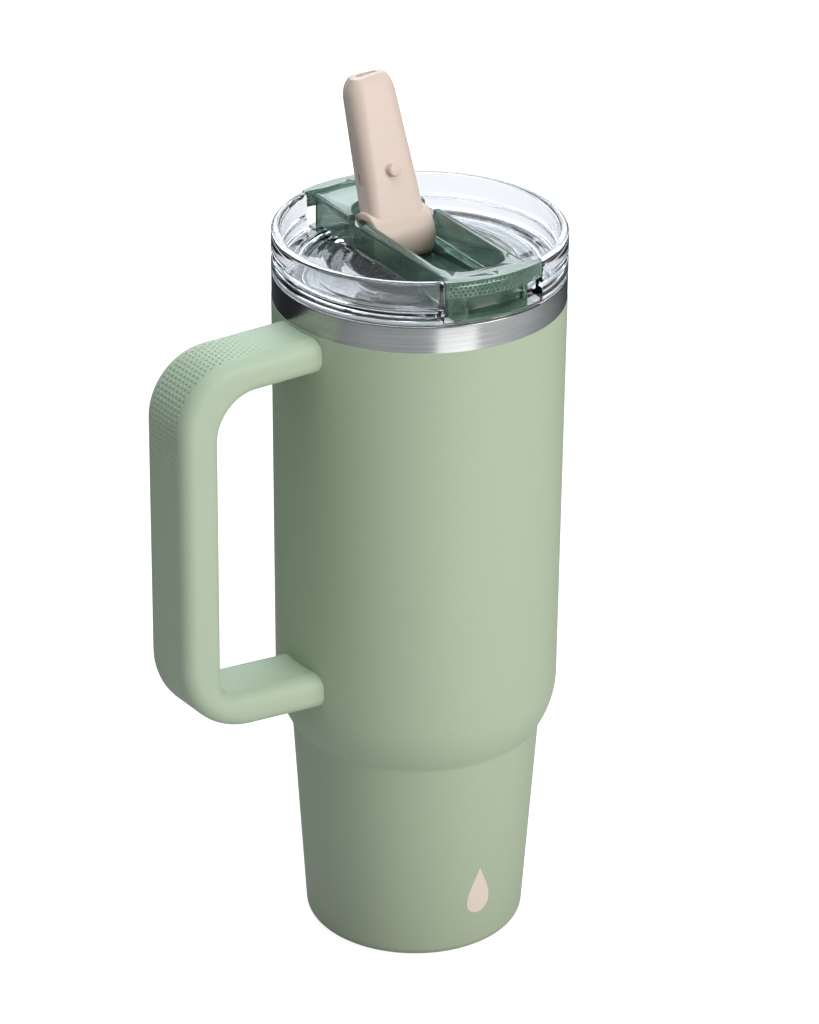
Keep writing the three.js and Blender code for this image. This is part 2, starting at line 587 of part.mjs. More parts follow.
function lidBody() {
  const rimRound = RIM_WALL / 2;
  const half = FLOOR_RING_W / 2;
  const raisedRing = (r) => [
    point(r + half, FLOOR_Z),
    point(r + half - FLOOR_RING_SLANT, FLOOR_Z + FLOOR_RING_H),
    point(r - half + FLOOR_RING_SLANT, FLOOR_Z + FLOOR_RING_H),
    point(r - half, FLOOR_Z),
  ];
  const ringR = (k) => RING_INNER_R - FLOOR_RING_INSET - k * FLOOR_RING_PITCH;
  const floorTop = Array.from({ length: FLOOR_RINGS }, (_, k) => raisedRing(ringR(k))).flat();
  const recessZ = GASKET_Z + GASKET_THICK + GAP;
  const profile = [
    point(0, FLOOR_Z - FLOOR_THICK),
    point(SKIRT_R - SKIRT_WALL, FLOOR_Z - FLOOR_THICK),
    point(SKIRT_R - SKIRT_WALL, SKIRT_BOTTOM_Z),
    point(SKIRT_R, SKIRT_BOTTOM_Z),
    point(SKIRT_R, SEAL_Z - SEAL_SECTION / 2 - GAP),
    point(SEAL_GROOVE_R, SEAL_Z - SEAL_SECTION / 2 - GAP),
    point(SEAL_GROOVE_R, SEAL_Z + SEAL_SECTION / 2 + GAP),
    point(SKIRT_R, SEAL_Z + SEAL_SECTION / 2 + GAP),
    point(SKIRT_R, recessZ),
    point(GASKET_OUTER_R + GAP, recessZ),
    point(GASKET_OUTER_R + GAP, RING_SEAT_Z),
    point(LID_R, RING_SEAT_Z),
    point(LID_R, FLANGE_TOP_Z),
    point(LID_R - WAIST_DEPTH, FLANGE_TOP_Z),
    point(LID_R - WAIST_DEPTH, UPPER_BAND_Z),
    point(LID_R, UPPER_BAND_Z),
    ...arc(LID_R - rimRound, RIM_Z - rimRound, rimRound, 0, 180, 4),
    point(RING_INNER_R - RING_DRAFT, FLOOR_Z + 1),
    point(RING_INNER_R - RING_DRAFT - 1, FLOOR_Z),
    ...floorTop,
    point(0, FLOOR_Z),
  ];
  const wellRoom = raised(channelPlan(BRIDGE_SKIN + GAP), SKIRT_BOTTOM_Z, RIM_Z + 1);
  const window = (side) =>
    block(
      -END_WALL_HALF_W - GAP,
      END_WALL_HALF_W + GAP,
      side > 0 ? WINDOW_Y : -BODY_R - 1,
      side > 0 ? BODY_R + 1 : -WINDOW_Y,
      FOOT_PLATE_Z,
      RIM_Z + 1,
    );
  const cupRoom = barAlongX(HUB_CUP_R + GAP, -CHANNEL_HALF_W - 3, CHANNEL_HALF_W + 3, HUB_Y, HUB_Z, 24);
  const bare = cut(turned(profile), wellRoom, window(1), window(-1), cupRoom);
  const ridges = thread(SKIRT_R, 1, LINER_THREAD_Z - THREAD_LEAD / 4, -LID_CLOCKING);
  return part("lid_body", join(bare, ...ridges), CLEAR);
}

function lidBridge() {
  const rimFace = disc(LID_R, WELL_BOTTOM_Z, RIM_Z);
  const topPlate = block(
    -BRIDGE_HALF_W,
    BRIDGE_HALF_W,
    -BODY_R,
    BODY_R,
    BRIDGE_TOP_Z - BRIDGE_PLATE,
    BRIDGE_TOP_Z,
  );
  const sideWall = (side) => {
    const inner = BRIDGE_HALF_W - BRIDGE_SKIN;
    const y = RING_INNER_R - 1;
    const low = FLOOR_Z + FLOOR_RING_H + GAP;
    const [x0, x1] = side > 0 ? [inner, BRIDGE_HALF_W] : [-BRIDGE_HALF_W, -inner];
    const leg = (y0, y1) => block(x0, x1, y0, y1, FOOT_PLATE_Z + GAP, low + 1);
    return join(block(x0, x1, -y, y, low, BRIDGE_TOP_Z), leg(-y, -WINDOW_Y - GAP), leg(WINDOW_Y + GAP, y));
  };
  const endWall = (side) =>
    block(
      -END_WALL_HALF_W,
      END_WALL_HALF_W,
      side > 0 ? LID_R - END_WALL_THICK : -BODY_R,
      side > 0 ? BODY_R : END_WALL_THICK - LID_R,
      RIM_Z - END_WALL_H,
      RIM_Z,
    );
  const footPlate = (side) =>
    block(
      -BRIDGE_HALF_W,
      BRIDGE_HALF_W,
      side > 0 ? WINDOW_Y + GAP : -BODY_R,
      side > 0 ? BODY_R : -WINDOW_Y - GAP,
      FOOT_PLATE_Z + GAP,
      FOOT_PLATE_Z + GAP + FOOT_PLATE_THICK,
    );
  const innerFace = disc(RING_INNER_R - 1, BRIDGE_TOP_Z, RIM_Z + 1);
  const well = cut(raised(channelPlan(BRIDGE_SKIN), WELL_BOTTOM_Z, BRIDGE_TOP_Z), belowFloor(BRIDGE_SKIN));
  const wellRoom = cut(raised(channelPlan(0), WELL_BOTTOM_Z, RIM_Z + 1), belowFloor(0));
  const cupHalf = HUB_HALF_L + GAP + 0.4;
  const cup = barAlongX(HUB_CUP_R, -cupHalf - BRIDGE_SKIN, cupHalf + BRIDGE_SKIN, HUB_Y, HUB_Z, 24);
  const cupBelow = cup.intersect(belowFloor(0));
  const pocket = barAlongX(HUB_POCKET_R, -cupHalf, cupHalf, HUB_Y, HUB_Z, 24);
  const snapSlot = block(
    -BRIDGE_HALF_W - 1,
    BRIDGE_HALF_W + 1,
    HUB_Y - SNAP_SLOT_W / 2,
    HUB_Y + SNAP_SLOT_W / 2,
    BRIDGE_TOP_Z - BRIDGE_PLATE,
    RIM_Z + 1,
  );
  const pinHoles = barAlongX(PIN_R + PIN_PLAY, -BRIDGE_HALF_W + 0.8, BRIDGE_HALF_W - 0.8, HUB_Y, HUB_Z, 16);
  const tube = ring(PORT_BORE_R, SPIGOT_R, SPIGOT_END_Z, HUB_Z - HUB_POCKET_R, 20);
  const port = disc(PORT_BORE_R, SPIGOT_END_Z - 1, HUB_Z, 20).translate([0, HUB_Y, 0]);
  const sealSeat = disc(HUB_SEAL_R + GAP, HUB_SEAL_Z - GAP, HUB_Z, 20).translate([0, HUB_Y, 0]);
  const ventHole = disc(VENT_R, WELL_BOTTOM_Z, RIM_Z, 16).translate([0, VENT_Y, 0]);
  const ends = [1, -1].flatMap((side) => [sideWall(side), endWall(side), footPlate(side)]);
  const shaped = cut(join(topPlate, ...ends, well).intersect(rimFace), innerFace);
  const solidBridge = join(shaped, cupBelow, tube.translate([0, HUB_Y, 0]));
  const holes = [wellRoom, pocket, snapSlot, pinHoles, port, sealSeat, ventHole];
  const open = cut(solidBridge, ...holes);
  return part("lid_bridge", open, TINTED);
}

function seals() {
  const skirtSeal = ring(
    SEAL_GROOVE_R + GAP,
    MOUTH_BORE_R - GAP,
    SEAL_Z - SEAL_SECTION / 2,
    SEAL_Z + SEAL_SECTION / 2,
  );
  const gasket = ring(GASKET_INNER_R, GASKET_OUTER_R, GASKET_Z, GASKET_Z + GASKET_THICK);
  const hubRoom = barAlongX(HUB_POCKET_R, -HUB_R, HUB_R, HUB_Y, HUB_Z, 24);
  const hubRing = ring(PORT_BORE_R, HUB_SEAL_R, HUB_SEAL_Z, HUB_Z - HUB_POCKET_R + HUB_SEAL_WRAP, 20);
  const ventZ = channelFloor(VENT_Y) - GAP;
  const grommet = ring(NUB_R + GAP, VENT_R - GAP, ventZ - BRIDGE_SKIN, ventZ, 16);
  return {
    skirtSeal: part("skirt_seal", skirtSeal, SILICONE),
    gasket: part("mouth_gasket", gasket, SILICONE),
    hubSeal: part("hub_seal", cut(hubRing.translate([0, HUB_Y, 0]), hubRoom), SILICONE),
    grommet: part("vent_grommet", grommet.translate([0, VENT_Y, 0]), SILICONE),
  };
}

// ---------------------------------------------------------------- spout

// The spout drawn upright about the hub's axis, front face towards -Y, then leant back.
function spoutPieces() {
  const rings = [];
  const stations = [
    [0, 0],
    [0.5, 0],
    [1, 0],
    [1, 0.35],
    [1, 0.7],
    [1, 1],
  ];
  for (const [along, closing] of stations) {
    const straight = SPOUT_REACH - SPOUT_TIP_ROUND;
    const z = along * straight + closing * SPOUT_TIP_ROUND;
    const shrink = SPOUT_TIP_SHARE + (1 - SPOUT_TIP_SHARE) * Math.sqrt(1 - closing ** 2);
    const blend = z / SPOUT_REACH;
    const width = THREE.MathUtils.lerp(SPOUT_ROOT_W, SPOUT_TIP_W, blend) * shrink;
    const front = THREE.MathUtils.lerp(SPOUT_ROOT_FRONT, SPOUT_TIP_FRONT, blend) * shrink;
    const back = THREE.MathUtils.lerp(SPOUT_ROOT_BACK, SPOUT_TIP_BACK, blend) * shrink;
    const corner = Math.min(front, back) * 0.8;
    const plan = roundedRectangle(-width / 2, width / 2, -front, back, corner).getPoints(3);
    rings.push(plan.slice(0, -1).map((p) => new THREE.Vector3(p.x, p.y, z)));
  }
  const stem = lofted(rings);
  const hub = barAlongX(HUB_R, -HUB_HALF_L, HUB_HALF_L, 0, 0, 24);
  const heel = block(-HEEL_W / 2, HEEL_W / 2, 0, HEEL_REACH, -1, HEEL_H);
  const recess = (side) =>
    side > 0
      ? barAlongX(HUB_RECESS_R, HUB_HALF_L - HUB_RECESS_DEPTH, HUB_HALF_L + 1, 0, 0, 20)
      : barAlongX(HUB_RECESS_R, -HUB_HALF_L - 1, -HUB_HALF_L + HUB_RECESS_DEPTH, 0, 0, 20);
  const pinBore = barAlongX(PIN_R + PIN_PLAY, -HUB_HALF_L - 1, HUB_HALF_L + 1, 0, 0, 16);
  const passage = disc(PORT_BORE_R, 4, SPOUT_REACH + 1, 16);
  const drain = disc(PORT_BORE_R, -HUB_R - 1, 5, 16).rotate([SPOUT_LEAN, 0, 0]);
  const faceAtNub = THREE.MathUtils.lerp(SPOUT_ROOT_FRONT, SPOUT_TIP_FRONT, NUB_REACH / SPOUT_REACH);
  const nubFace = -faceAtNub - GAP;
  const nubEnd = nubFace + NUB_STEM;
  const nubHole = barAlongY(NUB_R / 2 + GAP, nubFace - NUB_H, nubEnd + GAP, NUB_REACH);
  const body = cut(join(stem, hub, heel), recess(1), recess(-1), pinBore, passage, drain, nubHole);
  const nub = join(
    barAlongY(NUB_R, nubFace - NUB_H, nubFace, NUB_REACH),
    barAlongY(NUB_R / 2, nubFace - NUB_H / 2, nubEnd, NUB_REACH),
  );
  const group = new THREE.Group();
  group.position.set(0, HUB_Y, HUB_Z);
  group.rotation.x = -radians(SPOUT_LEAN);
  group.add(part("straw_spout", body, BLUSH), part("vent_plug", nub, BLUSH));
  return group;
}

// A cylinder along Y at a height above the hub's axis.
function barAlongY(radius, fromY, toY, z) {
  const geometry = new THREE.CylinderGeometry(radius, radius, toY - fromY, 14);
  return solid(geometry.translate(0, (fromY + toY) / 2, z));
}

function pivotPins() {
  const inner = HUB_HALF_L - HUB_RECESS_DEPTH - PIN_ENGAGEMENT;
  const outer = BRIDGE_HALF_W - PIN_COVER - GAP;
  return [
    part("pivot_pin_left", barAlongX(PIN_R, -outer, -inner, HUB_Y, HUB_Z, 16), STEEL),
    part("pivot_pin_right", barAlongX(PIN_R, inner, outer, HUB_Y, HUB_Z, 16), STEEL),
  ];
}

function strawPieces() {
  const strawTop = SPIGOT_END_Z - GAP;
  const straw = ring(STRAW_R - STRAW_WALL, STRAW_R, STRAW_END_Z, strawTop, 20);
  const sleeveR = Math.max(SPIGOT_R, STRAW_R) + GAP;
  const sleeveEnd = CONNECTOR_TOP_Z - CONNECTOR_L;
  const sleeve = ring(sleeveR, sleeveR + CONNECTOR_WALL, sleeveEnd, CONNECTOR_TOP_Z, 20);
  return [
    part("straw", straw.translate([0, HUB_Y, 0]), CLEAR),
    part("straw_connector", sleeve.translate([0, HUB_Y, 0]), SILICONE),
  ];
}

// ---------------------------------------------------------------- the whole object

const body = new THREE.Group();
body.add(outerShell(), innerLiner(), ...basePieces(), ...handlePieces());

const lid = new THREE.Group();
const lidSeals = seals();
lid.rotation.z = radians(LID_CLOCKING);
lid.add(lidBody(), lidBridge(), ...Object.values(lidSeals));
lid.add(spoutPieces(), ...pivotPins(), ...strawPieces());

const tumbler = new THREE.Group();
tumbler.add(body, lid);
export default tumbler;
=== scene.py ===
"""Looks of an insulated tumbler with a screw lid, a flip-up spout and a side handle.

The classes hold sizes in millimetres, and the studio's are in metres. Meshes are made in metres, in
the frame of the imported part: Z up, the axis of the cup at x = y = 0, the handle towards -X.
"""

import logging
import math
from collections.abc import Callable, Iterable, Sequence
from dataclasses import dataclass, field
from enum import Enum
from itertools import pairwise

import bpy
from mathutils import Matrix, Vector


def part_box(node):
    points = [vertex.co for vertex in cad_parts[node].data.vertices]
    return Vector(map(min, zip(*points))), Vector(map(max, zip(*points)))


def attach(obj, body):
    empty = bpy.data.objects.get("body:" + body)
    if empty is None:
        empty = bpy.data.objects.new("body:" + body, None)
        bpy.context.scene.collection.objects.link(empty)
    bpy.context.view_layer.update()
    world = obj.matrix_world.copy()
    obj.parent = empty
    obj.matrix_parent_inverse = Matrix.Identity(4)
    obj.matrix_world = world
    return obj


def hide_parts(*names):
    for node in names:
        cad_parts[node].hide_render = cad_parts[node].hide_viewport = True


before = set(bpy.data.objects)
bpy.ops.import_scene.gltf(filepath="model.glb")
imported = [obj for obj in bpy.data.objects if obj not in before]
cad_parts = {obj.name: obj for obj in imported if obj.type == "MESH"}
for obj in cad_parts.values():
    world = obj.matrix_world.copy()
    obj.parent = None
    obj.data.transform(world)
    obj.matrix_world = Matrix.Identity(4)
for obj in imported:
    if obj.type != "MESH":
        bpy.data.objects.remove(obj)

MM = 0.001  # metres in a millimetre
WELD = 1e-6  # metres within which two vertices are one
NEAR = 0.01  # millimetres within which two sizes are the same
SLIP = 0.05  # millimetres that keep faces of joined solids out of one plane
LID_TURN = math.radians(-4.2)  # how far the lid's bridge stands off square to the handle

Point = tuple[float, float]
Colour = tuple[float, float, float]
BLACK: Colour = (0.0, 0.0, 0.0)
WHITE: Colour = (1.0, 1.0, 1.0)
log = logging.getLogger("tumbler")


class Rides(Enum):
    """The moving bodies that pieces ride on."""

    CUP = "cup"
    GASKET = "gasket"
    SEAL_RING = "seal_ring"
    LID = "lid"
    SPOUT = "spout"


class Slot(Enum):
    """The record's material slots."""

    COAT = "powder_coat"
    STEEL = "bare_steel"
    GRIP = "grip_plastic"
    CLEAR = "clear_plastic"
    TINTED = "tinted_plastic"
    BLUSH = "blush_plastic"
    SILICONE = "silicone"


class Axis(Enum):
    """The three directions a rod can lie along, as the turn that takes Z to them."""

    X = (0.0, math.pi / 2, 0.0)
    Y = (-math.pi / 2, 0.0, 0.0)
    Z = (0.0, 0.0, 0.0)


# ------------------------------------------------------------------ modelling by hand


def settle() -> None:
    """Leaves edit mode and deselects every object."""
    active = bpy.context.view_layer.objects.active
    if active is not None and active.mode != "OBJECT":
        bpy.ops.object.mode_set(mode="OBJECT")
    bpy.ops.object.select_all(action="DESELECT")


def focus(piece: bpy.types.Object) -> None:
    """Makes one object the only selected one, and active.

    Args:
        piece: the object.
    """
    settle()
    piece.select_set(True)
    bpy.context.view_layer.objects.active = piece


def arc(cx: float, cy: float, radius: float, start: float, end: float, steps: int) -> list[Point]:
    """Points along an arc.

    Args:
        cx: centre, first coordinate.
        cy: centre, second coordinate.
        radius: radius of the arc.
        start: first angle in degrees.
        end: last angle in degrees.
        steps: number of spans.

    Returns:
        The points, from the first angle to the last.
    """
    angles = [math.radians(start + (end - start) * k / steps) for k in range(steps + 1)]
    return [(cx + radius * math.cos(a), cy + radius * math.sin(a)) for a in angles]


def eased(before: Point, corner: Point, after: Point, reach: float, steps: int = 4) -> list[Point]:
    """A corner of an outline, rounded.

    Args:
        before: a point on the way into the corner.
        corner: the corner.
        after: a point on the way out of it.
        reach: how far from the corner the round starts.
        steps: number of spans of the round.

    Returns:
        The points of the round.
    """
    c = Vector(corner)
    a = c + (Vector(before) - c).normalized() * reach
    b = c + (Vector(after) - c).normalized() * reach
    points = [a.lerp(c, t).lerp(c.lerp(b, t), t) for t in (k / steps for k in range(steps + 1))]
    return [(p.x, p.y) for p in points]


def traced(name: str, points: Sequence[Sequence[float]], closed: bool) -> bpy.types.Object:
    """A wire drawn by extruding one vertex from point to point.

    Args:
        name: name of the object.
        points: points in millimetres, with x, y and z.
        closed: whether the last point joins the first.

    Returns:
        The object, in edit mode with all of it selected.
    """
    settle()
    bpy.ops.mesh.primitive_plane_add(size=MM, location=(0, 0, 0))
    wire = bpy.context.object
    wire.name = wire.data.name = name
    bpy.ops.object.mode_set(mode="EDIT")
    bpy.ops.mesh.select_mode(type="VERT")
    bpy.ops.mesh.select_all(action="SELECT")
    bpy.ops.mesh.merge(type="CENTER")
    bpy.ops.transform.translate(value=Vector(points[0]) * MM)
    for a, b in pairwise(points):
        step = (Vector(b) - Vector(a)) * MM
        bpy.ops.mesh.extrude_vertices_move(TRANSFORM_OT_translate={"value": step})
    if closed:
        bpy.ops.object.mode_set(mode="OBJECT")
        first, last = Vector(points[0]) * MM, Vector(points[-1]) * MM
        for v in wire.data.vertices:
            v.select = min((v.co - first).length, (v.co - last).length) < WELD
        bpy.ops.object.mode_set(mode="EDIT")
        bpy.ops.mesh.edge_face_add()
    bpy.ops.mesh.select_all(action="SELECT")
    return wire


def heal(piece: bpy.types.Object) -> None:
    """Merges doubles and turns the faces outwards.

    Args:
        piece: the mesh.
    """
    focus(piece)
    bpy.ops.object.mode_set(mode="EDIT")
    bpy.ops.mesh.select_all(action="SELECT")
    bpy.ops.mesh.remove_doubles(threshold=WELD)
    bpy.ops.mesh.normals_make_consistent(inside=False)
    settle()


def spun(name: str, profile: Sequence[Point], closed: bool, steps: int = 144) -> bpy.types.Object:
    """A turned solid.

    Args:
        name: name of the object.
        profile: radius and height of each point, in millimetres.
        closed: whether the profile is a loop clear of the axis; if not, it runs from axis to axis.
        steps: facets round the axis.

    Returns:
        The solid.
    """
    piece = traced(name, [(r, 0, z) for r, z in profile], closed)
    bpy.ops.mesh.spin(steps=steps, angle=math.tau, center=(0, 0, 0), axis=(0, 0, 1))
    heal(piece)
    return piece


def slab(name: str, outline: Sequence[Sequence[float]], push: Sequence[float]) -> bpy.types.Object:
    """A flat outline filled and extruded.

    Args:
        name: name of the object.
        outline: corners in millimetres, with x, y and z.
        push: how far and which way it is extruded, in millimetres.

    Returns:
        The solid.
    """
    piece = traced(name, outline, True)
    bpy.ops.mesh.edge_face_add()
    bpy.ops.mesh.extrude_region_move(TRANSFORM_OT_translate={"value": Vector(push) * MM})
    heal(piece)
    return piece


def block(name: str, low: Sequence[float], high: Sequence[float]) -> bpy.types.Object:
    """A box between two corners in millimetres.

    Args:
        name: name of the object.
        low: its lowest corner.
        high: its highest corner.

    Returns:
        The box.
    """
    lo, hi = Vector(low) * MM, Vector(high) * MM
    settle()
    bpy.ops.mesh.primitive_cube_add(size=1, location=(lo + hi) / 2, scale=hi - lo)
    piece = bpy.context.object
    piece.name = piece.data.name = name
    return placed(piece)


def rod(
    name: str,
    radius: float,
    start: Sequence[float],
    length: float,
    axis: Axis,
    sides: int = 64,
) -> bpy.types.Object:
    """A cylinder from a start point along an axis, in millimetres.

    Args:
        name: name of the object.
        radius: its radius.
        start: middle of the end that it starts from.
        length: its length.
        axis: the direction that it runs in.
        sides: facets round it.

    Returns:
        The cylinder.
    """
    along = {Axis.X: Vector((1, 0, 0)), Axis.Y: Vector((0, 1, 0)), Axis.Z: Vector((0, 0, 1))}[axis]
    settle()
    bpy.ops.mesh.primitive_cylinder_add(
        vertices=sides,
        radius=radius * MM,
        depth=length * MM,
        location=(Vector(start) + along * length / 2) * MM,
        rotation=axis.value,
    )
    piece = bpy.context.object
    piece.name = piece.data.name = name
    return placed(piece)


def placed(piece: bpy.types.Object) -> bpy.types.Object:
    """Puts an object's place into its mesh.

    Args:
        piece: the object.

    Returns:
        The same object.
    """
    focus(piece)
    bpy.ops.object.transform_apply(location=True, rotation=True, scale=True)
    return piece


def turned_about_z(piece: bpy.types.Object, angle: float) -> bpy.types.Object:
    """Turns a piece about the tumbler's axis.

    Args:
        piece: the object.
        angle: the turn, in radians.

    Returns:
        The same object.
    """
    focus(piece)
    piece.matrix_world = Matrix.Rotation(angle, 4, "Z") @ piece.matrix_world
    return placed(piece)


def applied(piece: bpy.types.Object, kind: str, **settings: object) -> bpy.types.Object:
    """Adds one modifier with its settings and applies it.

    Args:
        piece: the object.
        kind: the modifier's type.
        **settings: its settings, by name.

    Returns:
        The same object.
    """
    focus(piece)
    modifier = piece.modifiers.new(kind.title(), kind)
    for key, value in settings.items():
        setattr(modifier, key, value)
    bpy.ops.object.modifier_apply(modifier=modifier.name)
    return piece


def carved(
    piece: bpy.types.Object,
    *tools: bpy.types.Object,
    how: str = "DIFFERENCE",
    solver: str = "EXACT",
) -> bpy.types.Object:
    """Cuts, joins or intersects a piece with tools, which are used up.

    Args:
        piece: the solid that is changed.
        tools: solids to cut or join with.
        how: DIFFERENCE, UNION or INTERSECT.
        solver: the boolean solver.

    Returns:
        The changed piece.
    """
    for tool in tools:
        applied(piece, "BOOLEAN", object=tool, operation=how, solver=solver)
        bpy.data.objects.remove(tool, do_unlink=True)
    return piece


def softened(
    piece: bpy.types.Object, width: float, segments: int = 2, angle: float = 35
) -> bpy.types.Object:
    """Bevels the edges sharper than an angle, by a width in millimetres.

    Args:
        piece: the solid.
        width: width of the bevel.
        segments: spans of the round.
        angle: the least angle that is bevelled, in degrees.

    Returns:
        The same solid.
    """
    return applied(
        piece,
        "BEVEL",
        width=width * MM,
        segments=segments,
        limit_method="ANGLE",
        angle_limit=math.radians(angle),
        use_clamp_overlap=True,
        harden_normals=False,
    )


def shaded(piece: bpy.types.Object, angle: float = 32) -> bpy.types.Object:
    """Smooth shading up to an angle.

    Args:
        piece: the mesh.
        angle: the most that is smoothed over, in degrees.

    Returns:
        The same mesh.
    """
    focus(piece)
    bpy.ops.object.shade_smooth_by_angle(angle=math.radians(angle))
    settle()
    return piece


def pick_edges(piece: bpy.types.Object, wanted: Callable[[Vector, Vector], bool]) -> None:
    """Selects the edges whose two ends meet a test, and leaves the piece in edit mode.

    Args:
        piece: the mesh.
        wanted: test on the two ends, in millimetres.
    """
    focus(piece)
    bpy.ops.object.mode_set(mode="EDIT")
    bpy.ops.mesh.select_mode(type="EDGE")
    bpy.ops.mesh.select_all(action="DESELECT")
    bpy.ops.object.mode_set(mode="OBJECT")
    at = [v.co / MM for v in piece.data.vertices]
    for edge in piece.data.edges:
        edge.select = wanted(at[edge.vertices[0]], at[edge.vertices[1]])
    bpy.ops.object.mode_set(mode="EDIT")


def bevel_edges(
    piece: bpy.types.Object, wanted: Callable[[Vector, Vector], bool], width: float, segments: int
) -> None:
    """Bevels the edges whose two ends meet a test.

    Args:
        piece: the solid.
        wanted: test on the two ends, in millimetres.
        width: width of the bevel in millimetres.
        segments: spans of the round.
    """
    pick_edges(piece, wanted)
    bpy.ops.mesh.bevel(offset=width * MM, segments=segments, profile=0.5, affect="EDGES")
    settle()


def twin(
    piece: bpy.types.Object, name: str, shift: Sequence[float] = (0, 0, 0)
) -> bpy.types.Object:
    """A copy of a piece with its own mesh.

    Args:
        piece: the piece that is copied.
        name: name of the copy.
        shift: how far the copy is moved, in millimetres.

    Returns:
        The copy.
    """
    second = piece.copy()
    second.data = piece.data.copy()
    second.name = second.data.name = name
    bpy.context.scene.collection.objects.link(second)
    second.location = Vector(shift) * MM
    return placed(second)


def dimpled(
    piece: bpy.types.Object, spots: Iterable[tuple[Vector, Vector, float]], depth: float
) -> bpy.types.Object:
    """Presses round dimples into a surface: one ball is modelled, copied to each spot, and cut out.

    Args:
        piece: the solid that is changed.
        spots: place, outward direction and diameter of each dimple, in millimetres.
        depth: depth of a dimple as a share of its diameter.

    Returns:
        The changed piece.
    """
    settle()
    bpy.ops.mesh.primitive_ico_sphere_add(subdivisions=2, radius=1)
    first = bpy.context.object
    balls = []
    for place, outward, diameter in spots:
        sag = depth * diameter
        radius = (diameter**2 / 4 + sag**2) / (2 * sag)
        ball = first.copy()
        ball.data = first.data.copy()
        bpy.context.scene.collection.objects.link(ball)
        centre = (place + outward * (radius - sag)) * MM
        ball.matrix_world = Matrix.Translation(centre) @ Matrix.Scale(radius * MM, 4)
        balls.append(ball)
    bpy.data.objects.remove(first, do_unlink=True)
    settle()
    for ball in balls:
        ball.select_set(True)
    bpy.context.view_layer.objects.active = balls[0]
    bpy.ops.object.join()
    return carved(piece, placed(balls[0]), solver="MANIFOLD")


def copied_node(name: str, node: str, angle: float = 30) -> bpy.types.Object:
    """A merged and smoothed copy of a CAD node, which stands for it.

    Args:
        name: name of the copy.
        node: name of the CAD node.
        angle: smoothing angle, in degrees.

    Returns:
        The copy.
    """
    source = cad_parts[node]
    piece = bpy.data.objects.new(name, source.data.copy())
    bpy.context.scene.collection.objects.link(piece)
    piece.data.materials.clear()
    focus(piece)
    bpy.ops.object.mode_set(mode="EDIT")
    bpy.ops.mesh.select_all(action="SELECT")
    bpy.ops.mesh.remove_doubles(threshold=WELD)
    bpy.ops.mesh.tris_convert_to_quads()
    settle()
    return shaded(piece, angle)


# ------------------------------------------------------------------ finishes


class Board:
    """A node tree, with short calls to add and join nodes."""

    def __init__(self, tree: bpy.types.NodeTree) -> None:
        """Takes the tree that the calls work on."""
        self.nodes, self.links = tree.nodes, tree.links

    def put(self, kind: str, **values: object) -> bpy.types.Node:
        """Adds a node.

        Args:
            kind: type of the node.
            **values: values of its inputs or properties, by name.

        Returns:
            The node.
        """
        node = self.nodes.new(kind)
        set_values(node, values)
        return node

    def group(self, tree: bpy.types.NodeTree, **values: object) -> bpy.types.Node:
        """Places a shared group with its own values.

        Args:
            tree: the group.
            **values: values of its inputs, by name.

        Returns:
            The node that holds the group.
        """
        node = self.nodes.new("ShaderNodeGroup")
        node.node_tree = tree
        set_values(node, values)
        return node

    def join(self, source: bpy.types.NodeSocket, target: bpy.types.NodeSocket) -> None:
        """Links one socket to another."""
        self.links.new(source, target)

    def maths(
        self, operation: str, first: bpy.types.NodeSocket, second: bpy.types.NodeSocket | float
    ) -> bpy.types.NodeSocket:
        """Adds a Math node.

        Args:
            operation: what it does with its two inputs.
            first: the first input.
            second: the second input, or a plain number in its place.

        Returns:
            The result.
        """
        node = self.put("ShaderNodeMath", operation=operation)
        self.join(first, node.inputs[0])
        if isinstance(second, float):
            node.inputs[1].default_value = second
        else:
            self.join(second, node.inputs[1])
        return node.outputs[0]


class Skin(Board):
    """A material's node tree, round its Principled shader."""

    def __init__(self, name: str) -> None:
        """Makes a material that holds only its shader and its output.

        Args:
            name: name of the material.
        """
        self.material = bpy.data.materials.new(name)
        self.material.use_nodes = True
        super().__init__(self.material.node_tree)
        self.shader = next(n for n in self.nodes if n.type == "BSDF_PRINCIPLED")

    def fixed(self, **values: object) -> None:
        """Sets plain values on the shader's own sockets."""
        set_values(self.shader, values)

    def bump(self, height: bpy.types.NodeSocket, distance: float, strength: float) -> None:
        """Feeds a height to the shader's normal.

        Args:
            height: the height, from 0 to 1.
            distance: depth of a height of 1, in metres.
            strength: how far the bump counts.
        """
        node = self.put("ShaderNodeBump", Distance=distance, Strength=strength)
        self.join(height, node.inputs["Height"])
        self.join(node.outputs["Normal"], self.shader.inputs["Normal"])

    def tint(
        self, mask: bpy.types.NodeSocket, low: Colour, high: Colour, target: str = "Base Color"
    ) -> None:
        """Feeds a colour between two to the shader, by a mask.

        Args:
            mask: the mask.
            low: colour where the mask is 0.
            high: colour where the mask is 1.
            target: the shader's input.
        """
        node = self.put("ShaderNodeMix", data_type="RGBA")
        colours = [s for s in node.inputs if s.type == "RGBA"]
        colours[0].default_value = (*low, 1)
        colours[1].default_value = (*high, 1)
        self.join(mask, node.inputs[0])
        made = next(s for s in node.outputs if s.type == "RGBA")
        self.join(made, self.shader.inputs[target])

    def roughen(self, mask: bpy.types.NodeSocket, low: float, high: float) -> None:
        """Feeds a roughness between two to the shader, by a mask.

        Args:
            mask: the mask.
            low: roughness where the mask is 0.
            high: roughness where the mask is 1.
        """
        node = self.put("ShaderNodeMapRange", To_Min=low, To_Max=high)
        self.join(mask, node.inputs["Value"])
        self.join(node.outputs["Result"], self.shader.inputs["Roughness"])


def set_values(node: bpy.types.Node, values: dict[str, object]) -> None:
    """Sets a node's inputs by name, and its properties where no input has the name.

    Args:
        node: the node.
        values: the values by name, with _ for a space.
    """
    for key, value in values.items():
        name = key.replace("_", " ")
        if name in node.inputs:
            node.inputs[name].default_value = value
        else:
            setattr(node, key, value)


